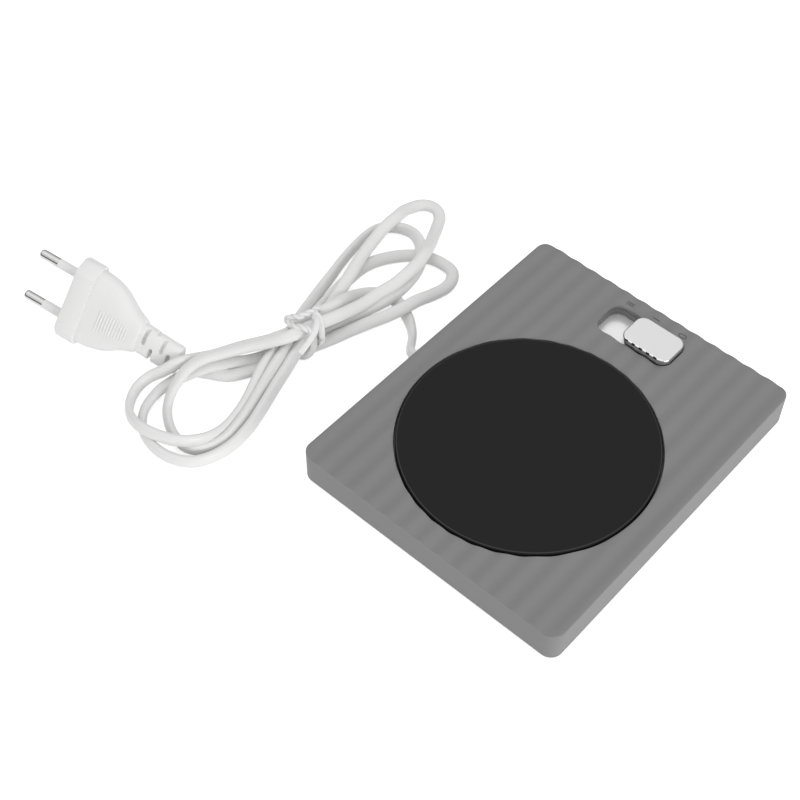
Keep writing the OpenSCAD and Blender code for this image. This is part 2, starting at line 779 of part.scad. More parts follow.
module switch_body() color("#2e2f31") {
  cavity_l = carriage_l + travel + 0.6;
  difference() {
    translate([slide_x, 0, 0]) {
      translate([0, 0, flange_z]) block(guide_w, flange_l, flange_t);
      translate([0, 0, switch_z]) block(switch_w, switch_l, flange_z - switch_z);
    }
    translate([slide_x, 0, switch_z + switch_floor_t])
      block(carriage_w + 0.4, cavity_l, flange_z - switch_z - switch_floor_t);
    translate([slide_x, 0, flange_z - 1])
      block(lever_w + 0.6, lever_l + travel + 0.6, flange_t + 2);
    terminal_shapes();
    for (sx = [-1, 1], sy = [-1, 1])
      translate([slide_x + sx * switch_screw_x, sy * switch_screw_y, flange_z - 1])
        cylinder(r = small_screw_r + 0.15, h = flange_t + 2);
  }
}

module switch_lever() color("#e8e4d8") {
  translate([slide_x, knob_y, 0]) {
    difference() {
      translate([0, 0, carriage_z])
        block(carriage_w, carriage_l, carriage_top_z - carriage_z);
      translate([0, 0, carriage_z - 1]) block(bridge_w, bridge_l, 1 + bridge_t);
    }
    translate([0, 0, carriage_top_z]) block(lever_w, lever_l, lever_top_z - carriage_top_z);
  }
}

// Brass bridge that joins the common terminal to the chosen one
module contact_bridge() color("#c8a048") {
  translate([slide_x, knob_y, carriage_z]) block(bridge_w, bridge_l, bridge_t);
}

module switch_terminals() color("#c8a048") {
  terminal_shapes();
}

module switch_screws() color("silver") {
  for (sx = [-1, 1], sy = [-1, 1])
    translate([slide_x + sx * switch_screw_x, sy * switch_screw_y, flange_z])
      screw(small_screw_r, flange_t + switch_screw_in, small_head_r, small_head_h);
}

// ------------------------------------------------- low heat and wiring

module low_heat_board() color("#2f6b3c") {
  difference() {
    translate([board_x, board_y, board_z]) block(board_w, board_l, board_t);
    for (sx = [-1, 1])
      translate([board_x + sx * leg_x, board_y, board_z - 1]) cylinder(r = 0.45, h = 4);
  }
}

// Rectifier that halves the heat at setting I
module low_heat_diode() color("#242424") {
  body_l = 5.2;
  body_r = 1.35;
  lift = board_z + board_t + body_r;
  translate([board_x, board_y, lift])
    rotate([0, 90, 0]) {
      translate([0, 0, -body_l / 2]) cylinder(r = body_r, h = body_l);
      translate([0, 0, -leg_x]) cylinder(r = 0.4, h = 2 * leg_x);
    }
  for (sx = [-1, 1])
    translate([board_x + sx * leg_x, board_y, board_z - 0.6]) cylinder(r = 0.4, h = lift - board_z + 0.6);
}

// Ends of the wires, and the level at which they lie on the base cover
wire_z = floor_z + 1.3;
rise_z = wire_z + 1;
wire_top_z = clamp_z - 2.5;
fuse_end_y = fuse_l / 2 + fuse_wire + 0.8;
thermostat_end_y = thermostat_d / 2 + 3.8;
thermostat_end_z = plate_z - thermostat_h + 1.2;
terminal_x = slide_x - switch_w / 2 - terminal_out - 0.15;
terminal_z = switch_z + switch_floor_t + terminal_t / 2;

// Wire routes under the heater: live to fuse, fuse to thermostat, thermostat to switch,
// switch to board, board to heater, switch to heater, neutral to heater
wire_routes = [
  [[gland_x, sheath_end_y - 0.3, gland_z + 1.3], [gland_x, sheath_end_y - 1.9, gland_z + 1.2],
    [gland_x - 1.2, sheath_end_y - 5, gland_z - 1], [gland_x - 5.2, sheath_end_y - 8.5, wire_z],
    [plate_x - 11.4, 34, wire_z], [plate_x - 23.4, 25, wire_z], [fuse_at[0] - 0.4, 16, wire_z],
    [fuse_at[0] - 0.2, 11, wire_z], [fuse_at[0], fuse_end_y, rise_z], [fuse_at[0], fuse_end_y, fuse_z]],
  [[fuse_at[0], -fuse_end_y, fuse_z], [fuse_at[0], -fuse_end_y, rise_z], [fuse_at[0] + 2.6, -12, wire_z],
    [plate_x - 17.4, -9, wire_z], [plate_x - 9.4, 4, wire_z], [plate_x - 1.9, 10.5, wire_z],
    [plate_x - 0.1, thermostat_end_y - 0.2, rise_z], [plate_x, thermostat_end_y, thermostat_end_z]],
  [[plate_x, -thermostat_end_y, thermostat_end_z], [plate_x, -thermostat_end_y, rise_z],
    [plate_x + 3.6, -14, wire_z], [plate_x + 22.6, -18, wire_z], [terminal_x - 13.5, -14, wire_z],
    [terminal_x - 3.5, -terminal_pitch - 0.6, wire_z], [terminal_x - 1.5, -terminal_pitch, terminal_z],
    [terminal_x, -terminal_pitch, terminal_z]],
  [[terminal_x, terminal_pitch, terminal_z], [terminal_x - 1.5, terminal_pitch, terminal_z],
    [terminal_x - 4.1, 10, wire_z], [terminal_x - 5.5, 16, wire_z], [board_x - 6, board_y - 14.3, wire_z],
    [board_x, board_y - 5.3, wire_z], [board_x + leg_x, board_y, wire_z]],
  [[board_x - leg_x, board_y, wire_z], [board_x - leg_x, board_y - 3.3, wire_z],
    [board_x - 8, board_y - 7.3, wire_z], [board_x - 14, board_y - 16.3, wire_z],
    [plate_x + 42.6, 20, wire_z], [plate_x + 36.6, 4, wire_z], [plate_x + 28.6, -5, wire_z],
    [tab_at[0] + 0.8, -tab_at[1], wire_z + 0.5],
    [tab_at[0], -tab_at[1], wire_top_z]],
  [[terminal_x, 0, terminal_z], [terminal_x - 1.5, 0, terminal_z], [terminal_x - 7.5, 0.4, wire_z],
    [terminal_x - 15.5, 1, wire_z], [plate_x + 35.2, 2, wire_z]],
  [[gland_x, sheath_end_y - 0.3, gland_z - 1.3], [gland_x, sheath_end_y - 1.9, gland_z - 1.4],
    [gland_x + 2.8, sheath_end_y - 6.5, wire_z], [plate_x + 18.6, 34, wire_z], [plate_x + 22.6, 20, wire_z],
    [tab_at[0] - 0.9, 10, wire_z], [tab_at[0] - 0.2, tab_at[1] + 0.3, wire_z + 0.7],
    [tab_at[0], tab_at[1], wire_top_z]]
];

module wire_harness() color("#b44a3a") {
  for (route = wire_routes)
    tube(smooth(route, 2), wire_d / 2, wire_d / 2, [0.3, 0.9, 0.3], 6);
}

// ------------------------------------------------------------ cord entry

module lead_section() {
  rounded_rect(lead_t, lead_w, lead_t / 2 - 0.01);
}

module cord_gland() color("#ececec") {
  outer_y = body_d / 2;
  difference() {
    union() {
      at_gland(outer_y + gland_flange) linear_extrude(gland_flange) gland_hole_shape(1.3);
      at_gland(outer_y) linear_extrude(wall_t) gland_hole_shape(-0.05);
      at_gland(outer_y - wall_t) linear_extrude(0.9) gland_hole_shape(0.25);
      at_gland(mouth_y) linear_extrude(gland_nose) gland_hole_shape(-0.3);
    }
    at_gland(outer_y + 10)
      linear_extrude(20) rounded_rect(lead_t + 2 * joint_gap, lead_w + 2 * joint_gap, lead_t / 2);
  }
}

// Lead between its clamp and the gland's mouth
module inner_lead() color("#f2f2f2") {
  at_gland(mouth_y) linear_extrude(mouth_y - sheath_end_y) lead_section();
}

module cord_clamp() color("#d8d8d8") {
  difference() {
    translate([gland_x, cord_clamp_y, gland_z + lead_w / 2])
      block(cord_clamp_w, cord_clamp_l, cord_clamp_t);
    for (sx = [-1, 1])
      translate([gland_x + sx * cord_screw_x, cord_clamp_y, gland_z])
        cylinder(r = small_screw_r + 0.15, h = 8);
  }
}

module clamp_screws() color("silver") {
  for (sx = [-1, 1])
    translate([gland_x + sx * cord_screw_x, cord_clamp_y, gland_z + lead_w / 2 + cord_clamp_t])
      rotate([180, 0, 0]) screw(small_screw_r, 6.5, small_head_r, small_head_h);
}

// ------------------------------------------------------- lead and hank

module cord_lead() color("#f2f2f2") {
  tube(smooth(lead_route, 2), lead_w / 2, lead_t / 2, [0, 0, 1], 8);
}

module tie_band() {
  translate([tie_x - tie_w / 2, tie_y[0], 0])
    difference() {
      cube([tie_w, tie_y[1] - tie_y[0], hank_h]);
      translate([-1, tie_t, tie_t])
        cube([tie_w + 2, tie_y[1] - tie_y[0] - 2 * tie_t, hank_h - 2 * tie_t]);
    }
}

// Bow of the tied lead: two low loops that rise to the tie
module cord_hank() color("#f2f2f2") {
  waist_l = 34;
  difference() {
    intersection() {
      linear_extrude(hank_h) polygon(smooth_ring(hank_outline, 3));
      union() {
        translate([-120, 60, 0]) cube([240, 90, hank_low_h]);
        translate([tie_x, 105, 0]) block(waist_l, 60, hank_h);
      }
    }
    tie_band();
    translate([tie_x - tie_w / 2, tie_y[0] - 20, -1]) cube([tie_w, 20, hank_h + 2]);
    translate([tie_x - tie_w / 2, tie_y[1], -1]) cube([tie_w, 20, hank_h + 2]);
  }
}

module cord_tail() color("#f2f2f2") {
  tube(smooth(tail_route, 1), lead_w / 2, 1.7, [1, 0, 0], 8);
}

module cord_tie() color("#fafafa") {
  tie_band();
  translate([tie_x, (tie_y[0] + tie_y[1]) / 2, hank_h]) cylinder(r = tie_knot_r, h = 1.6);
}

// ------------------------------------------------------------------ plug

module at_plug() {
  translate(plug_at) rotate(plug_turn) children();
}

// Outline of the plug's face: a flat hexagon with its corners rounded
module face_shape() {
  cut = (face_w - 26.1) / 2;
  corners = [[face_w / 2 - cut, -face_h / 2], [face_w / 2, -face_h / 2 + cut], [face_w / 2, face_h / 2 - cut],
    [face_w / 2 - cut, face_h / 2], [-face_w / 2 + cut, face_h / 2], [-face_w / 2, face_h / 2 - cut],
    [-face_w / 2, -face_h / 2 + cut], [-face_w / 2 + cut, -face_h / 2]];
  // Each corner becomes a short curve between points 1.8 before and after it
  polygon([for (i = [0 : 7]) let(p = corners[i], a = p + 1.8 * unit(corners[(i + 7) % 8] - p),
      b = p + 1.8 * unit(corners[(i + 1) % 8] - p))
    for (t = [0 : 0.25 : 1]) (1 - t) * (1 - t) * a + 2 * t * (1 - t) * p + t * t * b]);
}

function squircle(w, h, k, n) =
  let(c = cos(360 * k / n), s = sin(360 * k / n))
  [w * sign(c) * pow(abs(c), 0.75), h * sign(s) * pow(abs(s), 0.75)];

// Solid through oval sections behind the face, each with its middle and half sizes
module plug_loft(sections, sides) {
  n = len(sections);
  points = [for (g = sections, k = [0 : sides - 1]) let(q = squircle(g[2], g[3], k, sides))
    [-g[0], g[1] + q[0], q[1]]];
  walls = [for (i = [0 : n - 2], k = [0 : sides - 1]) let(m = (k + 1) % sides)
    [i * sides + k, i * sides + m, (i + 1) * sides + m, (i + 1) * sides + k]];
  caps = [[for (k = [sides - 1 : -1 : 0]) k], [for (k = [0 : sides - 1]) (n - 1) * sides + k]];
  polyhedron(points = points, faces = concat(walls, caps), convexity = 4);
}

// Half thickness of the grip at a distance behind the face
function grip_half(dist) =
  let(i = max([for (k = [0 : len(grip) - 2]) if (grip[k][0] <= dist) k]), a = grip[i], b = grip[i + 1])
  a[3] + (b[3] - a[3]) * (dist - a[0]) / (b[0] - a[0]);

// Round ribs across both broad sides of the grip
module grip_ribs() {
  for (i = [0 : rib_count - 1], side = [-1, 1]) {
    dist = rib_start + i * rib_pitch;
    l = 11 - max(0, i - 6) * 1.2;
    translate([-dist, 0, side * (grip_half(dist) - rib_r * 0.6)])
      rotate([90, 0, 0]) translate([0, 0, -l / 2 - 1]) cylinder(r = rib_r, h = l, $fn = 8);
  }
}

// Slots that let the strain relief bend: across its broad sides, and into its narrow sides
module relief_slots() {
  for (dist = broad_slots, side = [-1, 1])
    translate([-dist, -1.8, side * (relief_core / 2 + 4) - 4])
      linear_extrude(8) rounded_rect(relief_slot_w, broad_slot_l, relief_slot_w / 2 - 0.01);
  for (notch = side_notches)
    translate([-notch[0], notch[1] * (notch[2] + notch_out / 2), -8])
      linear_extrude(16) rounded_rect(relief_slot_w, notch_out, relief_slot_w / 2 - 0.01);
}

carrier_w = 27;
carrier_h = 8.4;
carrier_l = 6;

module carrier_shape(extra = 0) {
  rounded_rect(carrier_w + 2 * extra, carrier_h + 2 * extra, 3 + extra);
}

// Turns a flat shape to lie across the pins, and pushes it back by depth
module behind_face(depth) {
  translate([-depth, 0, 0]) rotate([90, 0, 90]) children();
}

module plug_body() color("#f0f0f0") {
  at_plug()
    difference() {
      union() {
        behind_face(rim_l) linear_extrude(rim_l) face_shape();
        plug_loft(grip, 24);
        grip_ribs();
        difference() {
          plug_loft(relief, 24);
          relief_slots();
        }
      }
      behind_face(carrier_l) linear_extrude(carrier_l + 1) carrier_shape();
    }
}

module at_pins() {
  at_plug() for (sy = [-1, 1])
    translate([-carrier_l + 1, sy * pin_spacing / 2, 0]) rotate([0, 90, 0]) children();
}

module pin_carrier() color("#f6f6f6") {
  difference() {
    at_plug() behind_face(carrier_l) linear_extrude(carrier_l) carrier_shape();
    at_pins() cylinder(d = pin_d, h = carrier_l);
  }
}

// Pins with round tips, necked inside their sleeves
module plug_pins() color("#b0b0ac") {
  in_l = carrier_l - 1;
  neck_r = pin_d / 2 - sleeve_t;
  tip_r = 1.4;
  end = in_l + pin_l;
  tip = [for (i = [0 : 5]) [pin_d / 2 - tip_r + tip_r * cos(18 * i), end - tip_r + tip_r * sin(18 * i)]];
  at_pins()
    rotate_extrude($fn = 32)
      polygon(concat([[0, 0], [pin_d / 2, 0], [pin_d / 2, in_l], [neck_r, in_l],
        [neck_r, in_l + sleeve_l], [pin_d / 2, in_l + sleeve_l]], tip, [[0, end]]));
}

module pin_sleeves() color("#eeeeee") {
  in_l = carrier_l - 1;
  at_pins()
    translate([0, 0, in_l]) ring(pin_d / 2, pin_d / 2 - sleeve_t, sleeve_l);
}

top_housing();
base_cover();
base_screws();
rubber_feet();
heating_plate();
heater_element();
insulation_pad();
clamp_plate();
clamp_nuts();
thermostat();
thermostat_strap();
thermal_fuse();
fuse_clip();
slide_guide();
guide_screws();
slider_knob();
switch_body();
switch_lever();
contact_bridge();
switch_terminals();
switch_screws();
low_heat_board();
low_heat_diode();
wire_harness();
cord_gland();
inner_lead();
cord_clamp();
clamp_screws();
cord_lead();
cord_hank();
cord_tail();
cord_tie();
plug_body();
pin_carrier();
plug_pins();
pin_sleeves();
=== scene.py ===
import math

import bmesh
import bpy
import numpy as np
from mathutils import Euler, Matrix, Vector
from mathutils.geometry import delaunay_2d_cdt


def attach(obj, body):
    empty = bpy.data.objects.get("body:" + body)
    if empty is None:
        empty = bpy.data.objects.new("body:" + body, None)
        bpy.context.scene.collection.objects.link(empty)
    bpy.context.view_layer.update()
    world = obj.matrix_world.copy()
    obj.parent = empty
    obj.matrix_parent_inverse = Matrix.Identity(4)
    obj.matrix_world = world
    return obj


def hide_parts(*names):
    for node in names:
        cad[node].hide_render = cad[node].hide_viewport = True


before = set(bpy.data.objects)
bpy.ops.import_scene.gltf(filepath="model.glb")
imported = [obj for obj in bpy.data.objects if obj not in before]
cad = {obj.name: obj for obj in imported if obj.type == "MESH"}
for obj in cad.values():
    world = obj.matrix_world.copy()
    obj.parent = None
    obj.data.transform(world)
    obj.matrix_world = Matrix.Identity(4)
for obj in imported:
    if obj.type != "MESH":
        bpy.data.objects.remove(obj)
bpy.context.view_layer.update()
MM = 0.001


def in_scene(name, data):
    """An object of the scene that holds the data."""
    obj = bpy.data.objects.new(name, data)
    bpy.context.scene.collection.objects.link(obj)
    return obj


# ---------------------------------------------------------------- camera

AZIMUTH, ELEVATION, ROLL = math.radians(-48.65), math.radians(51.86), math.radians(0.47)
CAMERA_PLACE = Vector((-302.73, -191.59, 478.16)) * MM
SENSOR_WIDTH, LENS = 36, 69.94
CLIP_NEAR, CLIP_FAR = 0.01, 20
cam_data = bpy.data.cameras.new("camera")
cam = in_scene("camera", cam_data)
back = Vector((math.sin(AZIMUTH) * math.cos(ELEVATION), -math.cos(AZIMUTH) * math.cos(ELEVATION),
               math.sin(ELEVATION)))
level_right = (-back).cross(Vector((0, 0, 1))).normalized()
level_up = level_right.cross(-back)
right = level_right * math.cos(ROLL) + level_up * math.sin(ROLL)
up = level_up * math.cos(ROLL) - level_right * math.sin(ROLL)
turned = Matrix((right, up, back)).transposed().to_4x4()
cam.matrix_world = Matrix.Translation(CAMERA_PLACE) @ turned
cam_data.sensor_width = SENSOR_WIDTH
cam_data.lens = LENS
cam_data.clip_start, cam_data.clip_end = CLIP_NEAR, CLIP_FAR
bpy.context.scene.camera = cam

# ---------------------------------------------------------------- mesh helpers

# Edges that turn by more degrees than this stay crisp
SHARP = 40


def piece(name, verts, faces, mat, body="housing", sharp=SHARP, weld=0.0):
    """A closed piece from points in millimetres, its faces turned outwards."""
    mesh = bpy.data.meshes.new(name)
    places = [tuple(v) for v in np.array(verts, float) * MM]
    mesh.from_pydata(places, [], [tuple(f) for f in faces])
    bm = bmesh.new()
    bm.from_mesh(mesh)
    if weld:
        bmesh.ops.remove_doubles(bm, verts=bm.verts, dist=weld * MM)
    bmesh.ops.recalc_face_normals(bm, faces=bm.faces)
    for f in bm.faces:
        f.smooth = True
    bm.to_mesh(mesh)
    bm.free()
    mesh.set_sharp_from_angle(angle=math.radians(sharp))
    mesh.materials.append(mat)
    obj = in_scene(name, mesh)
    if body:
        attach(obj, body)
    return obj


def loft(rings, cap=True):
    """Walls between rings of equal length, and a cap on each end."""
    n = len(rings[0])
    verts = [p for r in rings for p in r]
    faces = [(i * n + k, i * n + (k + 1) % n, (i + 1) * n + (k + 1) % n, (i + 1) * n + k)
             for i in range(len(rings) - 1) for k in range(n)]
    if cap:
        faces.append(tuple(range(n - 1, -1, -1)))
        faces.append(tuple((len(rings) - 1) * n + k for k in range(n)))
    return verts, faces


def joined(parts):
    """Several (points, faces) pairs as one."""
    verts, faces = [], []
    for v, f in parts:
        start = len(verts)
        verts += [tuple(p) for p in v]
        faces += [tuple(start + k for k in face) for face in f]
    return verts, faces


def rounded_rect(w, d, r, arc=8, per_mm=0.0, centre=(0, 0)):
    """Points of a rectangle with round corners; per_mm adds points along its straight sides."""
    pts = []
    corners = [(w / 2 - r, -d / 2 + r, -90), (w / 2 - r, d / 2 - r, 0),
               (-w / 2 + r, d / 2 - r, 90), (-w / 2 + r, -d / 2 + r, 180)]
    for i, (x, y, start) in enumerate(corners):
        for k in range(arc + 1):
            a = math.radians(start + 90 * k / arc)
            pts.append((x + r * math.cos(a), y + r * math.sin(a)))
        nx, ny, nstart = corners[(i + 1) % 4]
        a = math.radians(nstart)
        end = (nx + r * math.cos(a), ny + r * math.sin(a))
        last = pts[-1]
        steps = int(round(math.dist(last, end) * per_mm))
        for k in range(1, steps):
            t = k / steps
            pts.append((last[0] + (end[0] - last[0]) * t, last[1] + (end[1] - last[1]) * t))
    return [(x + centre[0], y + centre[1]) for x, y in pts]


def soft_line(points, steps):
    """A soft curve through given points, whatever they carry beside their place."""
    p = np.array(points, float)
    out = []
    for i in range(len(p) - 1):
        a, b, c, d = p[max(i - 1, 0)], p[i], p[i + 1], p[min(i + 2, len(p) - 1)]
        for k in range(steps):
            t = k / steps
            out.append(0.5 * (2 * b + (c - a) * t + (2 * a - 5 * b + 4 * c - d) * t * t
                              + (3 * b - a - 3 * c + d) * t ** 3))
    out.append(p[-1])
    return np.array(out)


def even_line(curve, step):
    """The curve with its points set at even steps, and its length."""
    run = np.r_[0, np.cumsum(np.linalg.norm(np.diff(curve[:, :3], axis=0), axis=1))]
    at = np.linspace(0, run[-1], int(round(run[-1] / step)) + 1)
    even = np.array([np.interp(at, run, curve[:, k]) for k in range(curve.shape[1])])
    return even.T, run[-1]


def swept(points, section):
    """Carries a section of (w, t) points along points (x, y, z, turn); w is upright at turn 0."""
    p = np.array(points, float)
    along = np.gradient(p[:, :3], axis=0)
    along /= np.linalg.norm(along, axis=1)[:, None]
    rise = np.array([0, 0, 1.0]) - along * along[:, 2:3]
    rise /= np.linalg.norm(rise, axis=1)[:, None]
    side = np.cross(along, rise)
    turn = np.radians(p[:, 3])[:, None]
    wide = np.cos(turn) * rise + np.sin(turn) * side
    thin = -np.sin(turn) * rise + np.cos(turn) * side
    return loft([[q + a * w + b * t for w, t in section] for q, a, b in zip(p[:, :3], wide, thin)])


FLOOR_GAP = 0.02


def above_floor(points, section):
    """Raises the points whose section would dip into the floor."""
    p = points.copy()
    for q in p:
        turn = math.radians(q[3])
        below = max(w * math.cos(turn) - t * math.sin(turn) for w, t in section)
        q[2] = max(q[2], below + FLOOR_GAP)
    return p


def oval(w, h, sides, power=1.0):
    """Points of an oval; a power below 1 makes it squarer."""
    out = []
    for k in range(sides):
        a = 2 * math.pi * (k + 0.5) / sides
        c, s = math.cos(a), math.sin(a)
        out.append((w * math.copysign(abs(c) ** power, c), h * math.copysign(abs(s) ** power, s)))
    return out


def circle(r, centre, sides):
    """Points of a circle."""
    angles = [2 * math.pi * k / sides for k in range(sides)]
    return [(centre[0] + r * math.cos(a), centre[1] + r * math.sin(a)) for a in angles]


def lathe(profile, centre, sides):
    """Turns (radius, height) points about an upright axis; a flat face closes each end."""
    return loft([[(x, y, z) for x, y in circle(r, centre, sides)] for r, z in profile])


def quarter(steps):
    """Angles of a quarter turn, in even steps."""
    return [math.pi / 2 * k / steps for k in range(steps + 1)]


# ---------------------------------------------------------------- node helpers


def add_node(tree, kind, feeds=(), **settings):
    """Adds a node to a tree; feeds are (input, value or socket) pairs."""
    node = tree.nodes.new(kind)
    for key, value in settings.items():
        setattr(node, key, value)
    for socket, value in feeds:
        if isinstance(value, bpy.types.NodeSocket):
            tree.links.new(value, node.inputs[socket])
        else:
            node.inputs[socket].default_value = value
    return node


def add_math(tree, operation, *values):
    """What a Math node makes of numbers and sockets."""
    return add_node(tree, "ShaderNodeMath", list(enumerate(values)), operation=operation).outputs[0]


class Tree:
    """A geometry tree with named sizes, run once over a piece and applied."""

    def __init__(self, name, sizes):
        self.tree = bpy.data.node_groups.new(name, "GeometryNodeTree")
        face = self.tree.interface
        face.new_socket("Geometry", in_out="INPUT", socket_type="NodeSocketGeometry")
        face.new_socket("Material", in_out="INPUT", socket_type="NodeSocketMaterial")
        for label in sizes:
            face.new_socket(label, in_out="INPUT", socket_type="NodeSocketFloat")
        face.new_socket("Geometry", in_out="OUTPUT", socket_type="NodeSocketGeometry")
        self.given = self.node("NodeGroupInput").outputs

    def node(self, kind, feeds=(), **settings):
        return add_node(self.tree, kind, feeds, **settings)

    def math(self, operation, *values):
        return add_math(self.tree, operation, *values)

    def vector(self, x=0.0, y=0.0, z=0.0):
        return self.node("ShaderNodeCombineXYZ", [(0, x), (1, y), (2, z)]).outputs[0]

    def vector_math(self, operation, *feeds):
        return self.node("ShaderNodeVectorMath", feeds, operation=operation).outputs[0]

    def tube(self, curve, ring, *feeds):
        """A closed tube along a curve."""
        return self.node("GeometryNodeCurveToMesh", [
            ("Curve", curve), ("Profile Curve", ring.outputs[0]), ("Fill Caps", True),
            *feeds]).outputs[0]

    def joined(self, parts):
        both = self.node("GeometryNodeJoinGeometry")
        for part in parts:
            self.tree.links.new(part, both.inputs[0])
        return both.outputs[0]

    def ends(self, geometry):
        """Closes the tree: instances made real, and the material set."""
        real = self.node("GeometryNodeRealizeInstances", [("Geometry", geometry)])
        dressed = self.node("GeometryNodeSetMaterial", [("Geometry", real.outputs[0]),
                                                        ("Material", self.given["Material"])])
        self.node("NodeGroupOutput", [("Geometry", dressed.outputs[0])])

    def runs_on(self, obj, mat, **sizes):
        """Applies the tree to a piece; sizes in metres or plain numbers, with _ for each space."""
        mod = obj.modifiers.new(self.tree.name, "NODES")
        mod.node_group = self.tree
        values = {key.replace("_", " "): value for key, value in sizes.items()}
        values["Material"] = mat
        for item in self.tree.interface.items_tree:
            if item.in_out == "INPUT" and item.name in values:
                mod[item.identifier] = values[item.name]
        settle(obj)
        obj.data.set_sharp_from_angle(angle=math.radians(SHARP))


def settle(obj):
    """Turns what the modifiers make into the piece's own plain mesh."""
    bpy.context.view_layer.update()
    shaped = obj.evaluated_get(bpy.context.evaluated_depsgraph_get())
    mesh = bpy.data.meshes.new_from_object(shaped)
    obj.modifiers.clear()
    obj.data = mesh


# ---------------------------------------------------------------- finishes

BROAD_SCALE = 35
GRAIN_DEPTH = 0.05 * MM


def grain_group():
    """Fine moulded grain: a value about 1 that mottles a colour, and a height for bump."""
    g = bpy.data.node_groups.new("moulded_grain", "ShaderNodeTree")
    for way, labels in (("INPUT", ("Scale", "Mottle")), ("OUTPUT", ("Shade", "Height"))):
        for label in labels:
            g.interface.new_socket(label, in_out=way, socket_type="NodeSocketFloat")
    given = add_node(g, "NodeGroupInput").outputs
    place = add_node(g, "ShaderNodeTexCoord").outputs["Object"]
    fine, broad = (
        add_node(g, "ShaderNodeTexNoise",
                 [("Vector", place), ("Scale", scale), ("Detail", detail)]).outputs["Fac"]
        for scale, detail in ((given["Scale"], 3), (BROAD_SCALE, 2)))
    centred = add_math(g, "SUBTRACT", add_math(g, "ADD", fine, broad), 1.0)
    shade = add_math(g, "MULTIPLY_ADD", centred, given["Mottle"], 1.0)
    add_node(g, "NodeGroupOutput", [("Shade", shade), ("Height", fine)])
    return g


GRAIN = grain_group()


def finish(name, colour, rough, metal=0.0, scale=1500.0, mottle=0.05, bump=0.1, specular=0.5):
    """A moulded, coated or plated surface: mottled colour, varied gloss and fine relief."""
    mat = bpy.data.materials.new(name)
    mat.use_nodes = True
    nt = mat.node_tree
    bsdf = nt.nodes["Principled BSDF"]
    bsdf.inputs["Metallic"].default_value = metal
    bsdf.inputs["Specular IOR Level"].default_value = specular
    grain = add_node(nt, "ShaderNodeGroup", node_tree=GRAIN)
    grain.inputs["Scale"].default_value = scale
    grain.inputs["Mottle"].default_value = mottle
    shade = grain.outputs["Shade"]
    tint = add_node(nt, "ShaderNodeVectorMath", [(0, colour), ("Scale", shade)], operation="SCALE")
    gloss = add_math(nt, "MULTIPLY", shade, rough)
    relief = add_node(nt, "ShaderNodeBump", [("Strength", bump), ("Distance", GRAIN_DEPTH),
                                             ("Height", grain.outputs["Height"])])
    nt.links.new(tint.outputs["Vector"], bsdf.inputs["Base Color"])
    nt.links.new(gloss, bsdf.inputs["Roughness"])
    nt.links.new(relief.outputs["Normal"], bsdf.inputs["Normal"])
    return mat


housing_grey = finish("housing_grey", (0.222, 0.222, 0.223), 0.5, scale=2200, mottle=0.06,
                      bump=0.25, specular=0.4)
base_grey = finish("base_grey", (0.18, 0.18, 0.182), 0.55, scale=1800, mottle=0.08, bump=0.35)
sign_grey = finish("sign_grey", (0.1, 0.1, 0.103), 0.6, scale=900)
# A little lighter and glossier than the plate's black, worn only by the rim's upward faces: a
# painted highlight
plate_rim_highlight = finish("plate_rim_highlight", (0.01, 0.01, 0.0101), 0.4, scale=1600, mottle=0.3, bump=0.2)
plate_black = finish("plate_black", (0.0084, 0.0084, 0.0085), 0.5, scale=1600, mottle=0.3,
                     bump=0.3, specular=0.17)
chrome = finish("chrome", (0.72, 0.72, 0.725), 0.14, metal=1, scale=700, mottle=0.04, bump=0.05)
satin_silver = finish("satin_silver", (0.99, 0.99, 0.99), 0.28, metal=0.5, scale=900, mottle=0.03)
cord_white = finish("cord_white", (0.815, 0.815, 0.81), 0.38, scale=500, mottle=0.03, bump=0.12)
plug_white = finish("plug_white", (0.83, 0.83, 0.825), 0.42, scale=1300, mottle=0.03, bump=0.2)
tie_white = finish("tie_white", (0.82, 0.825, 0.82), 0.35, scale=800, mottle=0.03)
pin_nickel = finish("pin_nickel", (0.54, 0.54, 0.535), 0.06, metal=1, scale=500, mottle=0.12)
zinc = finish("zinc", (0.55, 0.56, 0.57), 0.35, metal=1, scale=600, mottle=0.1)
rubber = finish("rubber", (0.03, 0.03, 0.03), 0.75, scale=1000, mottle=0.15, bump=0.4)
mica = finish("mica", (0.48, 0.38, 0.2), 0.4, scale=90, mottle=0.3)
felt = finish("felt", (0.7, 0.69, 0.65), 0.9, scale=1200, mottle=0.1, bump=0.8)
steatite = finish("steatite", (0.62, 0.58, 0.48), 0.35, scale=500)
black_plastic_and_notch_shade = finish("black_plastic_and_notch_shade", (0.03, 0.03, 0.032), 0.5, scale=1500, mottle=0.1, bump=0.2)
nylon = finish("nylon", (0.72, 0.7, 0.64), 0.45, scale=900)
brass = finish("brass", (0.6, 0.42, 0.14), 0.3, metal=1, scale=700, mottle=0.1)
laminate = finish("laminate", (0.05, 0.2, 0.08), 0.4, scale=700, mottle=0.15)
red_sleeve = finish("red_sleeve", (0.45, 0.06, 0.04), 0.4, scale=700)

CAD_FINISHES = {
    base_grey: ["base_cover"],
    housing_grey: ["slide_guide"],
    zinc: ["base_screws", "clamp_plate", "clamp_nuts", "thermostat_strap", "fuse_clip",
           "guide_screws", "switch_screws", "clamp_screws"],
    rubber: ["rubber_feet"],
    mica: ["heater_element"],
    felt: ["insulation_pad"],
    steatite: ["thermostat", "thermal_fuse"],
    black_plastic_and_notch_shade: ["switch_body", "low_heat_diode"],
    nylon: ["switch_lever", "cord_clamp"],
    brass: ["contact_bridge", "switch_terminals"],
    laminate: ["low_heat_board"],
    red_sleeve: ["wire_harness"],
    plug_white: ["cord_gland", "pin_carrier", "pin_sleeves"],
    cord_white: ["inner_lead"],
    pin_nickel: ["plug_pins"],
}
for mat, names in CAD_FINISHES.items():
    for n in names:
        cad[n].data.materials.clear()
        cad[n].data.materials.append(mat)

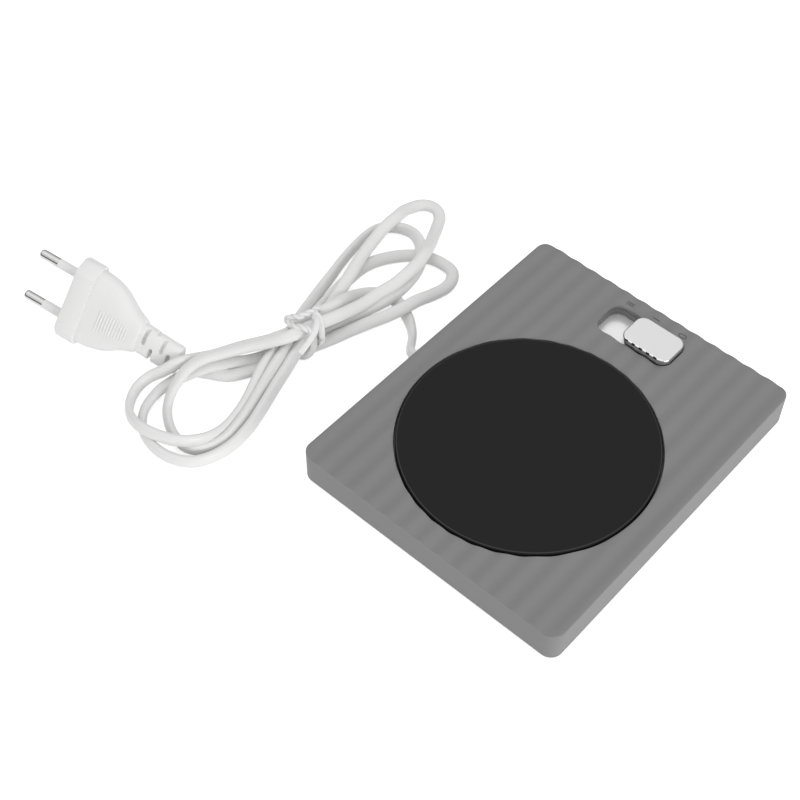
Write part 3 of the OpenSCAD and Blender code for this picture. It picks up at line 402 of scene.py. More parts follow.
# ---------------------------------------------------------------- cord
# Points are (x, y, z) in millimetres and the turn of the flat section, 0 on edge and 90 lying flat.

LEAD = [
    (-4.8, 61.5, 7.4, 180), (-4.8, 63, 7.3, 180), (-4.1, 65.5, 6.6, 180), (-1.9, 68, 5.2, 182),
    (1.5, 70.3, 4, 185), (5.3, 73.2, 3.2, 190), (8.9, 77.1, 2.8, 200), (11.9, 81.8, 2.6, 215),
    (14.1, 86.6, 2.5, 226), (15.2, 91.6, 2.5, 230), (14.3, 96.4, 2.5, 230), (11.6, 100.9, 2.5, 231),
    (7, 104, 2.9, 235), (0, 104.4, 6.2, 248), (-6.6, 103.8, 9, 252), (-12.8, 103.8, 10.3, 242),
    (-18.3, 104.7, 10, 228), (-24.9, 105.7, 9.9, 220)]
FIRST_LEFT = [
    (-31.2, 106.5, 10.2, 210), (-35.4, 108.2, 10, 202), (-38.6, 111.4, 8, 198),
    (-46.4, 118.6, 5.4, 194), (-56.2, 123.1, 5.7, 190), (-63.3, 126.1, 7.3, 188),
    (-68.4, 127.5, 9.2, 188), (-72, 129.2, 8.8, 189), (-76, 131.8, 6.4, 188),
    (-80.5, 135, 4.2, 186), (-86.5, 135.5, 3, 188), (-92.5, 132.8, 2.9, 184),
    (-97.5, 127.8, 4.4, 177), (-100.3, 121.2, 6.6, 171), (-100.4, 114.8, 7.4, 166),
    (-98.8, 108.4, 7.5, 166), (-96.3, 102.7, 7.6, 170), (-92.2, 98.1, 7.3, 172),
    (-86, 95.9, 5.2, 172), (-78.6, 95.6, 3.3, 168), (-70.5, 96.9, 2.7, 162),
    (-61.9, 99.5, 2.7, 157), (-54.1, 102.6, 3.6, 154), (-47.7, 104.8, 5, 152),
    (-40.5, 106.6, 5.5, 150), (-34.1, 107.8, 5.6, 148), (-27.8, 109.3, 5.7, 147)]
FIRST_RIGHT = [
    (-19, 111.8, 5.9, 152), (-10.6, 114.6, 4.8, 158), (-2, 117.4, 3.4, 154), (6.8, 119.8, 2.7, 160),
    (15.8, 122.1, 2.7, 170), (24.8, 123.8, 2.7, 176), (32.8, 124.6, 2.7, 178),
    (40, 123.8, 2.7, 176), (45, 120.2, 2.7, 173), (47.4, 114.6, 3.3, 167), (46.3, 108, 5.2, 150),
    (43.2, 102.3, 5.9, 127), (38.2, 97.4, 5.7, 106), (31.4, 93.7, 5.9, 88), (23.5, 91.8, 6, 74),
    (16, 91.7, 5.7, 64), (9.5, 92.8, 5.2, 64), (3, 95.3, 4, 72), (-5, 98.4, 2.6, 80),
    (-13, 101.2, 1.9, 85), (-20.3, 103.4, 1.9, 85)]
SECOND_LEFT = [
    (-27, 105.2, 1.9, 80), (-34, 107.2, 2, 70), (-41, 109.8, 2.1, 65), (-47.3, 112.9, 2.2, 60),
    (-53.3, 116.9, 3, 60), (-60, 119.9, 5, 62), (-64.5, 121.8, 5.6, 66), (-69.2, 124.2, 4.9, 76),
    (-74, 127.2, 2.8, 92), (-80.5, 128.3, 2.4, 112), (-87.6, 127.2, 2.6, 132),
    (-93.7, 124.3, 2.7, 150), (-98.2, 119.8, 2.7, 164), (-100.9, 114.3, 2.7, 170),
    (-101.9, 107.8, 2.7, 170), (-101.1, 101.3, 2.7, 170), (-98.3, 95.3, 2.7, 171),
    (-93.7, 91.2, 2.7, 170), (-87.1, 88.8, 2.7, 166), (-79.5, 88.1, 2.6, 160),
    (-70, 89.4, 2.7, 156), (-60, 92.4, 2.7, 153), (-50, 95.8, 2.9, 152), (-41.5, 98, 4.1, 152),
    (-34, 99.9, 5.8, 150), (-26, 102, 6.4, 146)]
SECOND_RIGHT = [
    (-17, 104.6, 6, 152), (-7.6, 106.8, 5.4, 146), (2.4, 109.7, 5.8, 128), (12, 112.6, 6.3, 112),
    (22, 115.8, 6.2, 115), (32, 118, 6.6, 112), (40.6, 119.3, 7.3, 112), (48.7, 120.2, 6.3, 112),
    (54.3, 121.4, 4.7, 112), (59.2, 121.3, 3, 108), (62.8, 120.2, 2.5, 104),
    (65.4, 117.6, 2.4, 100), (66.2, 114.8, 2.4, 98), (65.6, 111.7, 2.4, 94), (63.1, 108.6, 2.4, 90),
    (59.1, 106.2, 2.6, 87), (53.2, 103.1, 3.8, 84), (46.2, 99.2, 6.4, 80), (39, 95.7, 9.2, 76),
    (31.9, 93.5, 10, 70), (24.1, 92.5, 10.6, 64), (17, 93.1, 9.5, 62), (9.6, 95, 8.5, 66),
    (2, 96.6, 7.4, 70), (-6.4, 97.6, 8.9, 70), (-15.5, 98.8, 11, 60), (-22.6, 100.6, 12, 50)]
THIRD_LEFT = [
    (-28.4, 101.7, 12.6, 60), (-34.8, 103.8, 12.8, 75), (-41.4, 109.4, 10.6, 88),
    (-47.3, 114.2, 9.4, 95), (-54.9, 118.6, 9.2, 98), (-62.7, 121.8, 10.2, 98),
    (-69.8, 122.9, 10.2, 104), (-75.7, 122.9, 7.8, 118), (-81, 121.9, 5, 136), (-86, 119, 2.7, 152),
    (-90.4, 113.3, 2.7, 164), (-93, 107.1, 2.7, 172), (-93.8, 101.4, 2.7, 176),
    (-91.9, 96.6, 2.7, 176), (-87.9, 93.7, 2.7, 174), (-81.5, 92.2, 2.7, 170), (-74, 93, 2.7, 164),
    (-66, 95, 2.7, 158), (-57, 98, 2.9, 154), (-50, 100.2, 3.9, 150), (-43, 102, 5.4, 148),
    (-36, 103.6, 6.3, 146), (-28, 105.4, 6.4, 142)]
THIRD_RIGHT = [
    (-19, 107.9, 5.4, 150), (-8.8, 110.7, 3.4, 152), (2, 112.6, 2.2, 136), (11.3, 113.7, 2.1, 122),
    (20.6, 113.7, 2.1, 118), (27.5, 111.4, 2.2, 118), (33.5, 107.7, 2.3, 117),
    (38.6, 102.8, 2.4, 115), (42.1, 97.1, 2.4, 110), (43.6, 90.6, 2.4, 104), (43.1, 84.9, 2.4, 96),
    (39.7, 81.5, 2.5, 86), (33.9, 80, 3, 76), (26, 80.7, 4.6, 68), (18.5, 82, 6.4, 62),
    (11, 83.3, 6.9, 60), (4, 86.5, 5.4, 62), (-2, 90.4, 3.6, 62), (-9, 93.8, 2.5, 64),
    (-17, 96.6, 2, 74), (-25, 99.6, 1.9, 84)]
TO_PLUG = [
    (-33, 102.4, 2.2, 55), (-41.2, 105.3, 1.9, 85), (-49.4, 108.6, 1.9, 85),
    (-56.7, 112.7, 1.9, 85), (-60, 116.3, 1.9, 85), (-62, 120.2, 1.9, 80), (-64.1, 123.5, 2.3, 70),
    (-66, 126, 3.7, 55), (-67.2, 128.6, 5.1, 42), (-67.8, 130.5, 6.1, 36), (-68.3, 132.9, 6.5, 36)]
CORD_WIDTH, CORD_THICK, CORD_STEP = 5.3, 3.5, 1.5
route = (LEAD + FIRST_LEFT + FIRST_RIGHT + SECOND_LEFT + SECOND_RIGHT + THIRD_LEFT + THIRD_RIGHT
         + TO_PLUG)
line, cord_length = even_line(soft_line(route, 10), CORD_STEP)
flat_oval = oval(CORD_WIDTH / 2, CORD_THICK / 2, 20, 0.85)
line = above_floor(line, flat_oval)
verts, faces = swept(line, flat_oval)
cord = piece("cord", verts, faces, cord_white, sharp=60)
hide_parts("cord_lead", "cord_hank", "cord_tail")

# ---------------------------------------------------------------- housing

HOUSING_W, HOUSING_D, CORNER_R = 145, 120, 5
WALL_Z, MEAN_Z, ROOF_Z = 1, 15.26, 13.26
WAVE_PITCH, WAVE_H, WAVE_DEPTH = 8.4, 0.48, 1
PLATE_X, PLATE_R, OPENING_R = -12.6, 49.65, 50.25
PLATE_CENTRE, PLATE_SIDES = (PLATE_X, 0), 240
LEDGE_Z, LEDGE_R, LEDGE_T = 10.41, 46.55, 2
COLLAR_R = OPENING_R + 1.8
SLIDE_X, SLOT_W, SLOT_L, SLOT_R = 57.15, 15.7, 34.5, 4.5
SEAM, SEAM_H = 0.55, 0.4
EDGE_R, RIM_R, SLOT_CHAMFER = 0.45, 0.3, 0.35
WALL_T, FOOT_OUT, FOOT_IN = 2.2, 0.3, 0.2
HOUSING_SHARP = 32


def wave_z(y):
    """Height of the waved top at a depth."""
    return MEAN_Z + WAVE_H / 2 * math.cos(2 * math.pi * y / WAVE_PITCH)


def waves_tree():
    """Lifts and lowers what is marked to follow the waves, row by row across the depth."""
    t = Tree("roof_waves", ["Wave Pitch", "Wave Height"])
    place = t.node("GeometryNodeInputPosition").outputs[0]
    y = t.node("ShaderNodeSeparateXYZ", [(0, place)]).outputs[1]
    turn = t.math("MULTIPLY", t.math("DIVIDE", y, t.given["Wave Pitch"]), 2 * math.pi)
    lift = t.math("MULTIPLY", t.math("COSINE", turn),
                  t.math("MULTIPLY", t.given["Wave Height"], 0.5))
    mark = t.node("GeometryNodeInputNamedAttribute", [("Name", "follow")],
                  data_type="FLOAT").outputs["Attribute"]
    moved = t.node("GeometryNodeSetPosition", [
        ("Geometry", t.given["Geometry"]), ("Offset", t.vector(z=t.math("MULTIPLY", lift, mark)))])
    t.ends(moved.outputs[0])
    return t


def outline(inset):
    return rounded_rect(HOUSING_W - 2 * inset, HOUSING_D - 2 * inset, CORNER_R - inset, 10, 1.4)


def opening_line(grow):
    return circle(OPENING_R + grow, PLATE_CENTRE, PLATE_SIDES)


def slot_line(grow):
    return rounded_rect(SLOT_W + 2 * grow, SLOT_L + 2 * grow, SLOT_R + grow, 10, 1.2,
                        (SLIDE_X, 0))


# How near two points count as one, and how far inside a hole's line a triangle is cut away
MEETS, WITHIN = 1e-5, 0.02


def sheet_with_holes(outer, slot_grow, plate_grow, z, step_x, step_y, margin=0.5):
    """A flat field of triangles inside an outline, round the slot and the plate's opening."""
    holes = [opening_line(plate_grow), slot_line(slot_grow)]
    pts = [Vector(p) for p in outer]
    edges = [(k, (k + 1) % len(outer)) for k in range(len(outer))]
    for h in holes:
        s = len(pts)
        pts += [Vector(p) for p in h]
        edges += [(s + k, s + (k + 1) % len(h)) for k in range(len(h))]

    def in_slot(x, y, grow):
        qx = abs(x - SLIDE_X) - SLOT_W / 2 - grow + SLOT_R
        qy = abs(y) - SLOT_L / 2 - grow + SLOT_R
        return math.hypot(max(qx, 0), max(qy, 0)) + min(max(qx, qy), 0) < SLOT_R

    def in_opening(x, y, grow):
        return math.hypot(x - PLATE_X, y) < OPENING_R + grow

    lo, hi = np.min(outer, axis=0), np.max(outer, axis=0)
    for i in range(1, int((hi[0] - lo[0]) / step_x)):
        for j in range(1, int((hi[1] - lo[1]) / step_y)):
            x, y = lo[0] + i * step_x, lo[1] + j * step_y
            near = abs(x) > HOUSING_W / 2 - CORNER_R and abs(y) > HOUSING_D / 2 - CORNER_R
            if (near or in_slot(x, y, slot_grow + margin)
                    or in_opening(x, y, plate_grow + margin)):
                continue
            if x > hi[0] - margin or y > hi[1] - margin:
                continue
            pts.append(Vector((x, y)))
    out, _, tris, _, _, _ = delaunay_2d_cdt(pts, edges, [], 0, MEETS)
    keep = []
    for t in tris:
        cx, cy = sum(out[k].x for k in t) / 3, sum(out[k].y for k in t) / 3
        if not (in_slot(cx, cy, slot_grow - WITHIN) or in_opening(cx, cy, plate_grow - WITHIN)):
            keep.append(tuple(t))
    return [(v.x, v.y, z) for v in out], keep


def ring_stack(levels):
    """Walls through levels, each a line of (x, y) and its height."""
    return loft([[(x, y, z) for x, y in pts] for pts, z in levels], cap=False)


def rounding(line_at, size):
    """Levels of a small rounding from the top face down to an upright wall."""
    return [(line_at(size * (1 - math.sin(a))), MEAN_Z - size * (1 - math.cos(a)))
            for a in quarter(4)]


top = sheet_with_holes(outline(EDGE_R), SLOT_CHAMFER, RIM_R, MEAN_Z, step_x=2.4, step_y=0.7)
under = sheet_with_holes(outline(WALL_T), SEAM, COLLAR_R - OPENING_R, ROOF_Z, step_x=12, step_y=12)
outside = ring_stack(rounding(outline, EDGE_R) + [
    (outline(inset), z)
    for inset, z in ((0, WALL_Z + FOOT_OUT), (FOOT_OUT, WALL_Z), (WALL_T - FOOT_IN, WALL_Z),
                     (WALL_T, WALL_Z + FOOT_IN), (WALL_T, ROOF_Z))])
collar = ring_stack(rounding(opening_line, RIM_R) + [
    (circle(r, PLATE_CENTRE, PLATE_SIDES), z)
    for r, z in ((OPENING_R, LEDGE_Z + LEDGE_T), (LEDGE_R, LEDGE_Z + LEDGE_T), (LEDGE_R, LEDGE_Z),
                 (COLLAR_R, LEDGE_Z), (COLLAR_R, ROOF_Z))])
mouth = ring_stack([
    (slot_line(grow), z)
    for grow, z in ((SLOT_CHAMFER, MEAN_Z), (SLOT_CHAMFER * 0.45, MEAN_Z - SLOT_CHAMFER * 0.35),
                    (0, MEAN_Z - SLOT_CHAMFER), (0, ROOF_Z + SEAM_H), (SEAM, ROOF_Z + SEAM_H),
                    (SEAM, ROOF_Z))])
verts, faces = joined([top, under, outside, collar, mouth])
housing = piece("housing_shell", verts, faces, housing_grey, sharp=HOUSING_SHARP, weld=0.002)
marks = housing.data.attributes.new("follow", "FLOAT", "POINT").data
for vert, mark in zip(housing.data.vertices, marks):
    mark.value = 1.0 if vert.co.z > (MEAN_Z - WAVE_DEPTH) * MM else 0.0
waves_tree().runs_on(housing, housing_grey, Wave_Pitch=WAVE_PITCH * MM, Wave_Height=WAVE_H * MM)
housing.data.attributes.remove(housing.data.attributes["follow"])
housing.data.set_sharp_from_angle(angle=math.radians(HOUSING_SHARP))
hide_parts("top_housing")

# Signs beside the slot: thin darker lines that lie a hair above the waves
SIGN_X, SIGN_STEP = 68, 12.6
SIGN_ABOVE, SIGN_BELOW = 0.06, 0.1
RING_W, RING_L, RING_R, RING_LINE = 1.7, 3.1, 0.8, 0.4
BAR_HALF, BAR_LINE, BAR_APART = 1.6, 0.5, 0.5


def stroke(points, width, closed=False):
    """A thin line of the given width that follows the waves."""
    pts = np.array(points, float)
    n = len(pts)
    verts, faces = [], []
    for i in range(n):
        before, after = ((i - 1) % n, (i + 1) % n) if closed else (max(i - 1, 0), min(i + 1, n - 1))
        d = pts[after] - pts[before]
        d /= np.linalg.norm(d)
        side = np.array([-d[1], d[0]]) * width / 2
        for q in (pts[i] + side, pts[i] - side):
            verts.append((q[0], q[1], wave_z(q[1]) + SIGN_ABOVE))
            verts.append((q[0], q[1], wave_z(q[1]) - SIGN_BELOW))
    last = n if closed else n - 1
    for i in range(last):
        a, b = 4 * i, 4 * ((i + 1) % n)
        faces += [(a, b, b + 2, a + 2), (a + 1, a + 3, b + 3, b + 1), (a, a + 1, b + 1, b),
                  (a + 2, b + 2, b + 3, a + 3)]
    if not closed:
        e = 4 * (n - 1)
        faces += [(0, 2, 3, 1), (e, e + 1, e + 3, e + 2)]
    return verts, faces


def bar(x, y):
    return stroke([(x, y + BAR_HALF * (k / 6 - 1)) for k in range(13)], BAR_LINE)


ring_line = rounded_rect(RING_W, RING_L, RING_R, 6, 1.5, (SIGN_X, -SIGN_STEP))
verts, faces = joined([stroke(ring_line, RING_LINE, closed=True), bar(SIGN_X, 0),
                       bar(SIGN_X - BAR_APART, SIGN_STEP), bar(SIGN_X + BAR_APART, SIGN_STEP)])
signs = piece("setting_signs", verts, faces, sign_grey)

# ---------------------------------------------------------------- heating plate

PLATE_TOP, PLATE_BOTTOM, PLATE_ROUND, PLATE_MID = 15.81, 12.41, 0.7, 0.5
# Faces of the rounding that look up more than this wear a lighter, glossier finish: a painted
# highlight along the plate's rim
RIM_HIGHLIGHT_LEVEL = 0.8
rim = [(PLATE_R - PLATE_ROUND + PLATE_ROUND * math.sin(a),
        PLATE_TOP - PLATE_ROUND + PLATE_ROUND * math.cos(a)) for a in quarter(6)]
profile = ([(r, PLATE_TOP) for r in (PLATE_MID, 20, 40)] + rim
           + [(PLATE_R, PLATE_BOTTOM), (PLATE_MID, PLATE_BOTTOM)])
verts, faces = lathe(profile, PLATE_CENTRE, PLATE_SIDES)
plate = piece("heating_plate_coated", verts, faces, plate_black, sharp=50)
plate.data.materials.append(plate_rim_highlight)
for face in plate.data.polygons:
    out = (face.center - Vector((PLATE_X, 0, 0)) * MM).xy.length
    if (PLATE_R - PLATE_ROUND) * MM < out and face.normal.z > RIM_HIGHLIGHT_LEVEL:
        face.material_index = 1
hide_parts("heating_plate")

# ---------------------------------------------------------------- knob and shutter

KNOB_Y, KNOB_W, KNOB_L, KNOB_R, KNOB_TOP = -6, 15.1, 22.2, 4.2, 17.76
KNOB_ROUND, KNOB_FOOT, KNOB_SUNK = 0.75, 0.4, 0.1
SHEET_W, SHEET_L, SHEET_TOP, SHEET_BOTTOM = 18, 49.5, 10.26, 9.06
SHEET_R, SHEET_EDGE = 1.5, 0.15
NOTCH_PITCH, NOTCH_W, NOTCH_DEEP, NOTCH_H = 3.4, 1.6, 0.5, 0.8
NOTCH_Y, NOTCH_COUNT = KNOB_Y + 0.9, 5


def knob_ring(inset, z):
    pts = rounded_rect(KNOB_W - 2 * inset, KNOB_L - 2 * inset, KNOB_R - inset, 12, 2.5,
                       (SLIDE_X, KNOB_Y))
    return [(x, y, z) for x, y in pts]


rings = [knob_ring(KNOB_FOOT, SHEET_TOP - KNOB_SUNK), knob_ring(0, SHEET_TOP + KNOB_FOOT)]
rings += [knob_ring(KNOB_ROUND * (1 - math.cos(a)),
                    KNOB_TOP - KNOB_ROUND + KNOB_ROUND * math.sin(a)) for a in quarter(6)]
knob = piece("slide_knob", *loft(rings), chrome, body="slider", sharp=50)


def notches_tree():
    """Takes a row of small notches out of a piece, along its depth."""
    t = Tree("knob_notches", ["Start X", "Start Y", "Start Z", "Pitch", "Width", "Depth", "Height",
                              "Count"])
    start = t.vector(*(t.given["Start " + axis] for axis in "XYZ"))
    row = t.node("GeometryNodeMeshLine", [("Count", t.given["Count"]), ("Start Location", start),
                                          ("Offset", t.vector(y=t.given["Pitch"]))])
    deep, high = (t.math("MULTIPLY", t.given[key], 2.0) for key in ("Depth", "Height"))
    block = t.node("GeometryNodeMeshCube", [("Size", t.vector(deep, t.given["Width"], high))])
    blocks = t.node("GeometryNodeInstanceOnPoints", [("Points", row.outputs[0]),
                                                     ("Instance", block.outputs[0])])
    real = t.node("GeometryNodeRealizeInstances", [("Geometry", blocks.outputs[0])])
    left = t.node("GeometryNodeMeshBoolean", [("Mesh 1", t.given["Geometry"]),
                                              ("Mesh 2", real.outputs[0])],
                  operation="DIFFERENCE", solver="EXACT")
    t.ends(left.outputs[0])
    return t


KNOB_SIDE_X = SLIDE_X - KNOB_W / 2
notches_tree().runs_on(
    knob, chrome, Start_X=KNOB_SIDE_X * MM,
    Start_Y=(NOTCH_Y - NOTCH_PITCH * (NOTCH_COUNT - 1) / 2) * MM, Start_Z=KNOB_TOP * MM,
    Pitch=NOTCH_PITCH * MM, Width=NOTCH_W * MM, Depth=NOTCH_DEEP * MM, Height=NOTCH_H * MM,
    Count=NOTCH_COUNT)


def in_notch(p, near=0.01):
    """Whether a point lies on the walls of a notch."""
    off = abs((p.y - NOTCH_Y + NOTCH_PITCH / 2) % NOTCH_PITCH - NOTCH_PITCH / 2)
    return (p.x < KNOB_SIDE_X + NOTCH_DEEP + near and p.z > KNOB_TOP - NOTCH_H - near
            and off < NOTCH_W / 2 + near)


# The notch walls wear black plastic: painted shade for the dark hollows of the notches in the
# chrome
knob.data.materials.append(black_plastic_and_notch_shade)
for face in knob.data.polygons:
    if all(in_notch(knob.data.vertices[k].co / MM) for k in face.vertices):
        face.material_index = 1
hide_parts("slider_knob")



def sheet_ring(inset, z):
    pts = rounded_rect(SHEET_W - 2 * inset, SHEET_L - 2 * inset, SHEET_R - inset, 6, 0,
                       (SLIDE_X, KNOB_Y))
    return [(x, y, z) for x, y in pts]


sheet_rings = [sheet_ring(SHEET_EDGE, SHEET_BOTTOM), sheet_ring(0, SHEET_BOTTOM + SHEET_EDGE),
               sheet_ring(0, SHEET_TOP - SHEET_EDGE), sheet_ring(SHEET_EDGE, SHEET_TOP)]
shutter = piece("shutter_sheet", *loft(sheet_rings), satin_silver, body="slider")

# ---------------------------------------------------------------- plug

PLUG_PLACE = Vector((-78.3, 179.8, 16.7))
PLUG_TURN = Euler([math.radians(a) for a in (-53.6, -10.6, 103)], "XYZ").to_matrix()
FACE_W, FACE_H, FACE_FLAT, FACE_CORNER, RIM_L = 35.3, 13.7, 26.1, 1.6, 8.6


def at_plug(parts):
    """Points given from the middle of the plug's face, turned and moved to its place."""
    verts, faces = parts
    return [tuple(PLUG_TURN @ Vector(v) + PLUG_PLACE) for v in verts], faces


def face_ring(x, inset):
    """Flat hexagon across the pins with its corners rounded."""
    w, h, flat = FACE_W / 2 - inset, FACE_H / 2 - inset, FACE_FLAT / 2
    upper = h - (w - flat)
    corners = [(w, -upper), (w, upper), (flat, h), (-flat, h), (-w, upper), (-w, -upper),
               (-flat, -h), (flat, -h)]
    ring = []
    for i in range(8):
        p, a, b = (Vector(corners[k % 8]) for k in (i, i + 7, i + 1))
        a, b = (p + (q - p).normalized() * FACE_CORNER for q in (a, b))
        for k in range(7):
            t = k / 6
            q = a * (1 - t) ** 2 + p * 2 * t * (1 - t) + b * t ** 2
            ring.append((x, q.x, q.y))
    return ring


# Distance behind the face, middle, half width, half height
GRIP = [
    (8.2, 0, 16.1, 5.75), (8.6, 0, 16.3, 5.9), (11, 0, 16.2, 5.9), (14, 0, 15.8, 5.8),
    (17, 0, 15.1, 5.8), (20, 0.1, 14.1, 5.7), (22.5, 0.2, 12.7, 5.6), (25, 0.3, 11, 5.4),
    (27.5, 0.4, 9.4, 5.2), (30, 0.5, 8.2, 5.1), (32, 0.6, 7.4, 4.9), (32.8, 0.6, 6.8, 4.6),
    (33.1, 0.6, 6, 4)]
RELIEF = [
    (32, 0.6, 6.4, 4.2), (34, 0.7, 6.3, 4.1), (38, 1, 6.3, 4), (42, 1.3, 6.3, 3.8),
    (46, 1.4, 6.2, 3.6), (50.2, 1.4, 6.1, 3.4), (51.2, 1.4, 5.6, 3), (51.5, 1.4, 4.5, 2.3)]
OVAL_POWER, GRIP_SIDES = 0.75, 64


def plug_sections(table, sides):
    """A closed body through the squarish ovals of a table."""
    rings = []
    for dist, mid, w, h in soft_line(table, 3):
        rings.append([(-dist, mid + a, b) for a, b in oval(w, h, sides, OVAL_POWER)])
    return loft(rings)


rim_rings = [face_ring(x, inset)
             for x, inset in ((0, 0.5), (-0.15, 0.15), (-0.5, 0), (-RIM_L + 0.4, 0),
                              (-RIM_L + 0.1, 0.12), (-RIM_L, 0.4))]
verts, faces = at_plug(joined([loft(rim_rings), plug_sections(GRIP, GRIP_SIDES)]))
plug = piece("plug_grip", verts, faces, plug_white, sharp=35)
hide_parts("plug_body")

# Slots that let the strain relief bend, across its broad sides and into its narrow sides
BROAD_SLOTS, BROAD_SLOT_L, BROAD_SLOT_Y = (35.6, 43.7), 7.2, -1.8
# Distance behind the face, side, and how far from the middle the notch begins
SIDE_NOTCHES = ((39.7, 1, 1.7), (39.7, -1, 4.2), (47.3, 1, 0.3))
SLOT_WIDE, NOTCH_OUT, CORE, CUT_REACH = 1.7, 12, 3.6, 8
SKIN_STEP = 0.24
relief = piece("strain_relief", *at_plug(plug_sections(RELIEF, 48)), plug_white, sharp=40)


def slot_cutter(dist, y, length, z_from, z_to):
    """A block with round ends that cuts a slot across the relief."""
    edge = rounded_rect(SLOT_WIDE, length, SLOT_WIDE / 2 - 0.01, 8)
    rings = [[(-dist + a, y + b, z) for a, b in edge] for z in (z_from, z_to)]
    return piece("cutter", *at_plug(loft(rings)), plug_white, body=None)


cutters = [slot_cutter(d, BROAD_SLOT_Y, BROAD_SLOT_L, *sorted((side * CORE / 2, side * CUT_REACH)))
           for d in BROAD_SLOTS for side in (1, -1)]
cutters += [slot_cutter(d, side * (inner + NOTCH_OUT / 2), NOTCH_OUT, -CUT_REACH, CUT_REACH)
            for d, side, inner in SIDE_NOTCHES]
for c in cutters:
    hole = relief.modifiers.new("slot", "BOOLEAN")
    hole.operation, hole.solver, hole.object = "DIFFERENCE", "EXACT", c
skin = relief.modifiers.new("skin", "REMESH")
skin.mode, skin.voxel_size, skin.use_smooth_shade = "VOXEL", SKIN_STEP * MM, True
ease = relief.modifiers.new("ease", "SMOOTH")
ease.factor, ease.iterations = 0.5, 5
settle(relief)
for c in cutters:
    bpy.data.objects.remove(c)


# Where a ray starts above the plug's middle, and how far it goes, in metres
RAY_START, RAY_LENGTH = 0.02, 0.05


def ribs_tree():
    """Lays rows of thin ribs across the grip, on both of its broad sides."""
    t = Tree("grip_ribs", ["Start", "Pitch", "Count", "Middle", "Length", "Full Ribs", "Shorter By",
                           "Rib Radius"])
    start = t.vector(t.math("MULTIPLY", t.given["Start"], -1.0), t.given["Middle"])
    row = t.node("GeometryNodeMeshLine", [
        ("Count", t.given["Count"]), ("Start Location", start),
        ("Offset", t.vector(t.math("MULTIPLY", t.given["Pitch"], -1.0)))])
    number = t.node("GeometryNodeInputIndex").outputs[0]
    late = t.math("MAXIMUM", t.math("SUBTRACT", number, t.given["Full Ribs"]), 0.0)
    length = t.math("SUBTRACT", t.given["Length"], t.math("MULTIPLY", late, t.given["Shorter By"]))
    straight = t.node("GeometryNodeCurvePrimitiveLine", [("Start", (0, -0.5, 0)),
                                                         ("End", (0, 0.5, 0))])
    fine = t.node("GeometryNodeResampleCurve", [("Curve", straight.outputs[0]), ("Count", 17)])
    rows = t.node("GeometryNodeInstanceOnPoints", [
        ("Points", row.outputs[0]), ("Instance", fine.outputs[0]),
        ("Scale", t.vector(1.0, length, 1.0))])
    lines = t.node("GeometryNodeRealizeInstances", [("Geometry", rows.outputs[0])]).outputs[0]
    # Full in the middle and thin at both ends
    part = t.node("GeometryNodeSplineParameter").outputs["Factor"]
    inner = t.math("ADD", t.math("MULTIPLY", part, 0.96), 0.02)
    fade = t.math("POWER", t.math("SINE", t.math("MULTIPLY", inner, math.pi)), 0.4)
    ring = t.node("GeometryNodeCurvePrimitiveCircle", [("Resolution", 8),
                                                       ("Radius", t.given["Rib Radius"])])
    place = t.node("GeometryNodeInputPosition").outputs[0]
    sides = []
    for sign in (1, -1):
        above = t.vector_math("ADD", (0, place), (1, (0, 0, sign * RAY_START)))
        cast = t.node("GeometryNodeRaycast", [
            ("Target Geometry", t.given["Geometry"]), ("Source Position", above),
            ("Ray Direction", (0, 0, -sign)), ("Ray Length", RAY_LENGTH)])
        laid = t.node("GeometryNodeSetPosition", [("Geometry", lines),
                                                  ("Position", cast.outputs["Hit Position"])])
        sides.append(t.tube(laid.outputs[0], ring, ("Scale", fade)))
    t.ends(t.joined(sides))
    return t


rib_piece = piece("grip_ribs", *plug_sections(GRIP, GRIP_SIDES), plug_white, sharp=60)
ribs_tree().runs_on(rib_piece, plug_white, Start=15.6 * MM, Pitch=1.25 * MM, Count=11,
                    Middle=1.6 * MM, Length=10.4 * MM, Full_Ribs=6, Shorter_By=1.1 * MM,
                    Rib_Radius=0.36 * MM)
rib_piece.data.transform(Matrix.Translation(PLUG_PLACE * MM) @ PLUG_TURN.to_4x4())

# ---------------------------------------------------------------- tie
# A soft plastic tie wound about the waist of the hank: two strands twisted on top, its ends flat.
# Points are as for the cord; those of the twist have no turn.

TWIST = [
    (-12.8, 106.3, 8), (-14.7, 105.1, 12), (-17.8, 104, 14.8), (-20.6, 104, 15.6),
    (-23.2, 104.8, 15.8), (-25.6, 105.8, 15.6), (-26.9, 107.8, 15.2), (-27.7, 109.6, 14.4),
    (-28.7, 109.5, 13.6), (-29.5, 107.3, 13.8), (-29.8, 104.5, 14.6), (-29.1, 102.1, 15.4),
    (-28.3, 100.2, 15.6), (-27.7, 98.3, 15), (-27.4, 97, 14)]
BAND = [
    (-19.9, 104.7, 15.2, 126), (-20.3, 101.8, 16.2, 118), (-20.5, 99.7, 15.6, 108),
    (-21.2, 98.1, 13.8, 98), (-22.5, 96.5, 11.6, 92), (-23.4, 95.5, 9, 92), (-23.3, 95.9, 6, 92),
    (-23, 97.5, 3, 92)]
TONGUE = [
    (-21.2, 102, 15.6, 110), (-22.2, 99.5, 16.2, 98), (-24.1, 97.4, 16, 84),
    (-26.5, 96.1, 15.2, 72), (-29.3, 95.5, 14.1, 66), (-32.2, 95.2, 12.8, 63),
    (-34.9, 95.2, 11.6, 62), (-36.2, 95.2, 11, 62)]
UNDER = [
    (-23.8, 100.3, 8, 97), (-25.1, 98.3, 7, 88), (-26.7, 97.2, 5.6, 75), (-28.5, 96.9, 3.6, 60),
    (-30.4, 97.8, 2, 55), (-31.5, 99.9, 1.2, 60), (-31.3, 102.6, 1, 80), (-29.3, 106, 0.9, 90),
    (-22.1, 110.7, 0.9, 90), (-15.8, 113.3, 0.9, 90), (-11.2, 113.8, 1.5, 100),
    (-10.9, 111.1, 4.5, 120), (-12.8, 106.3, 8, 130)]


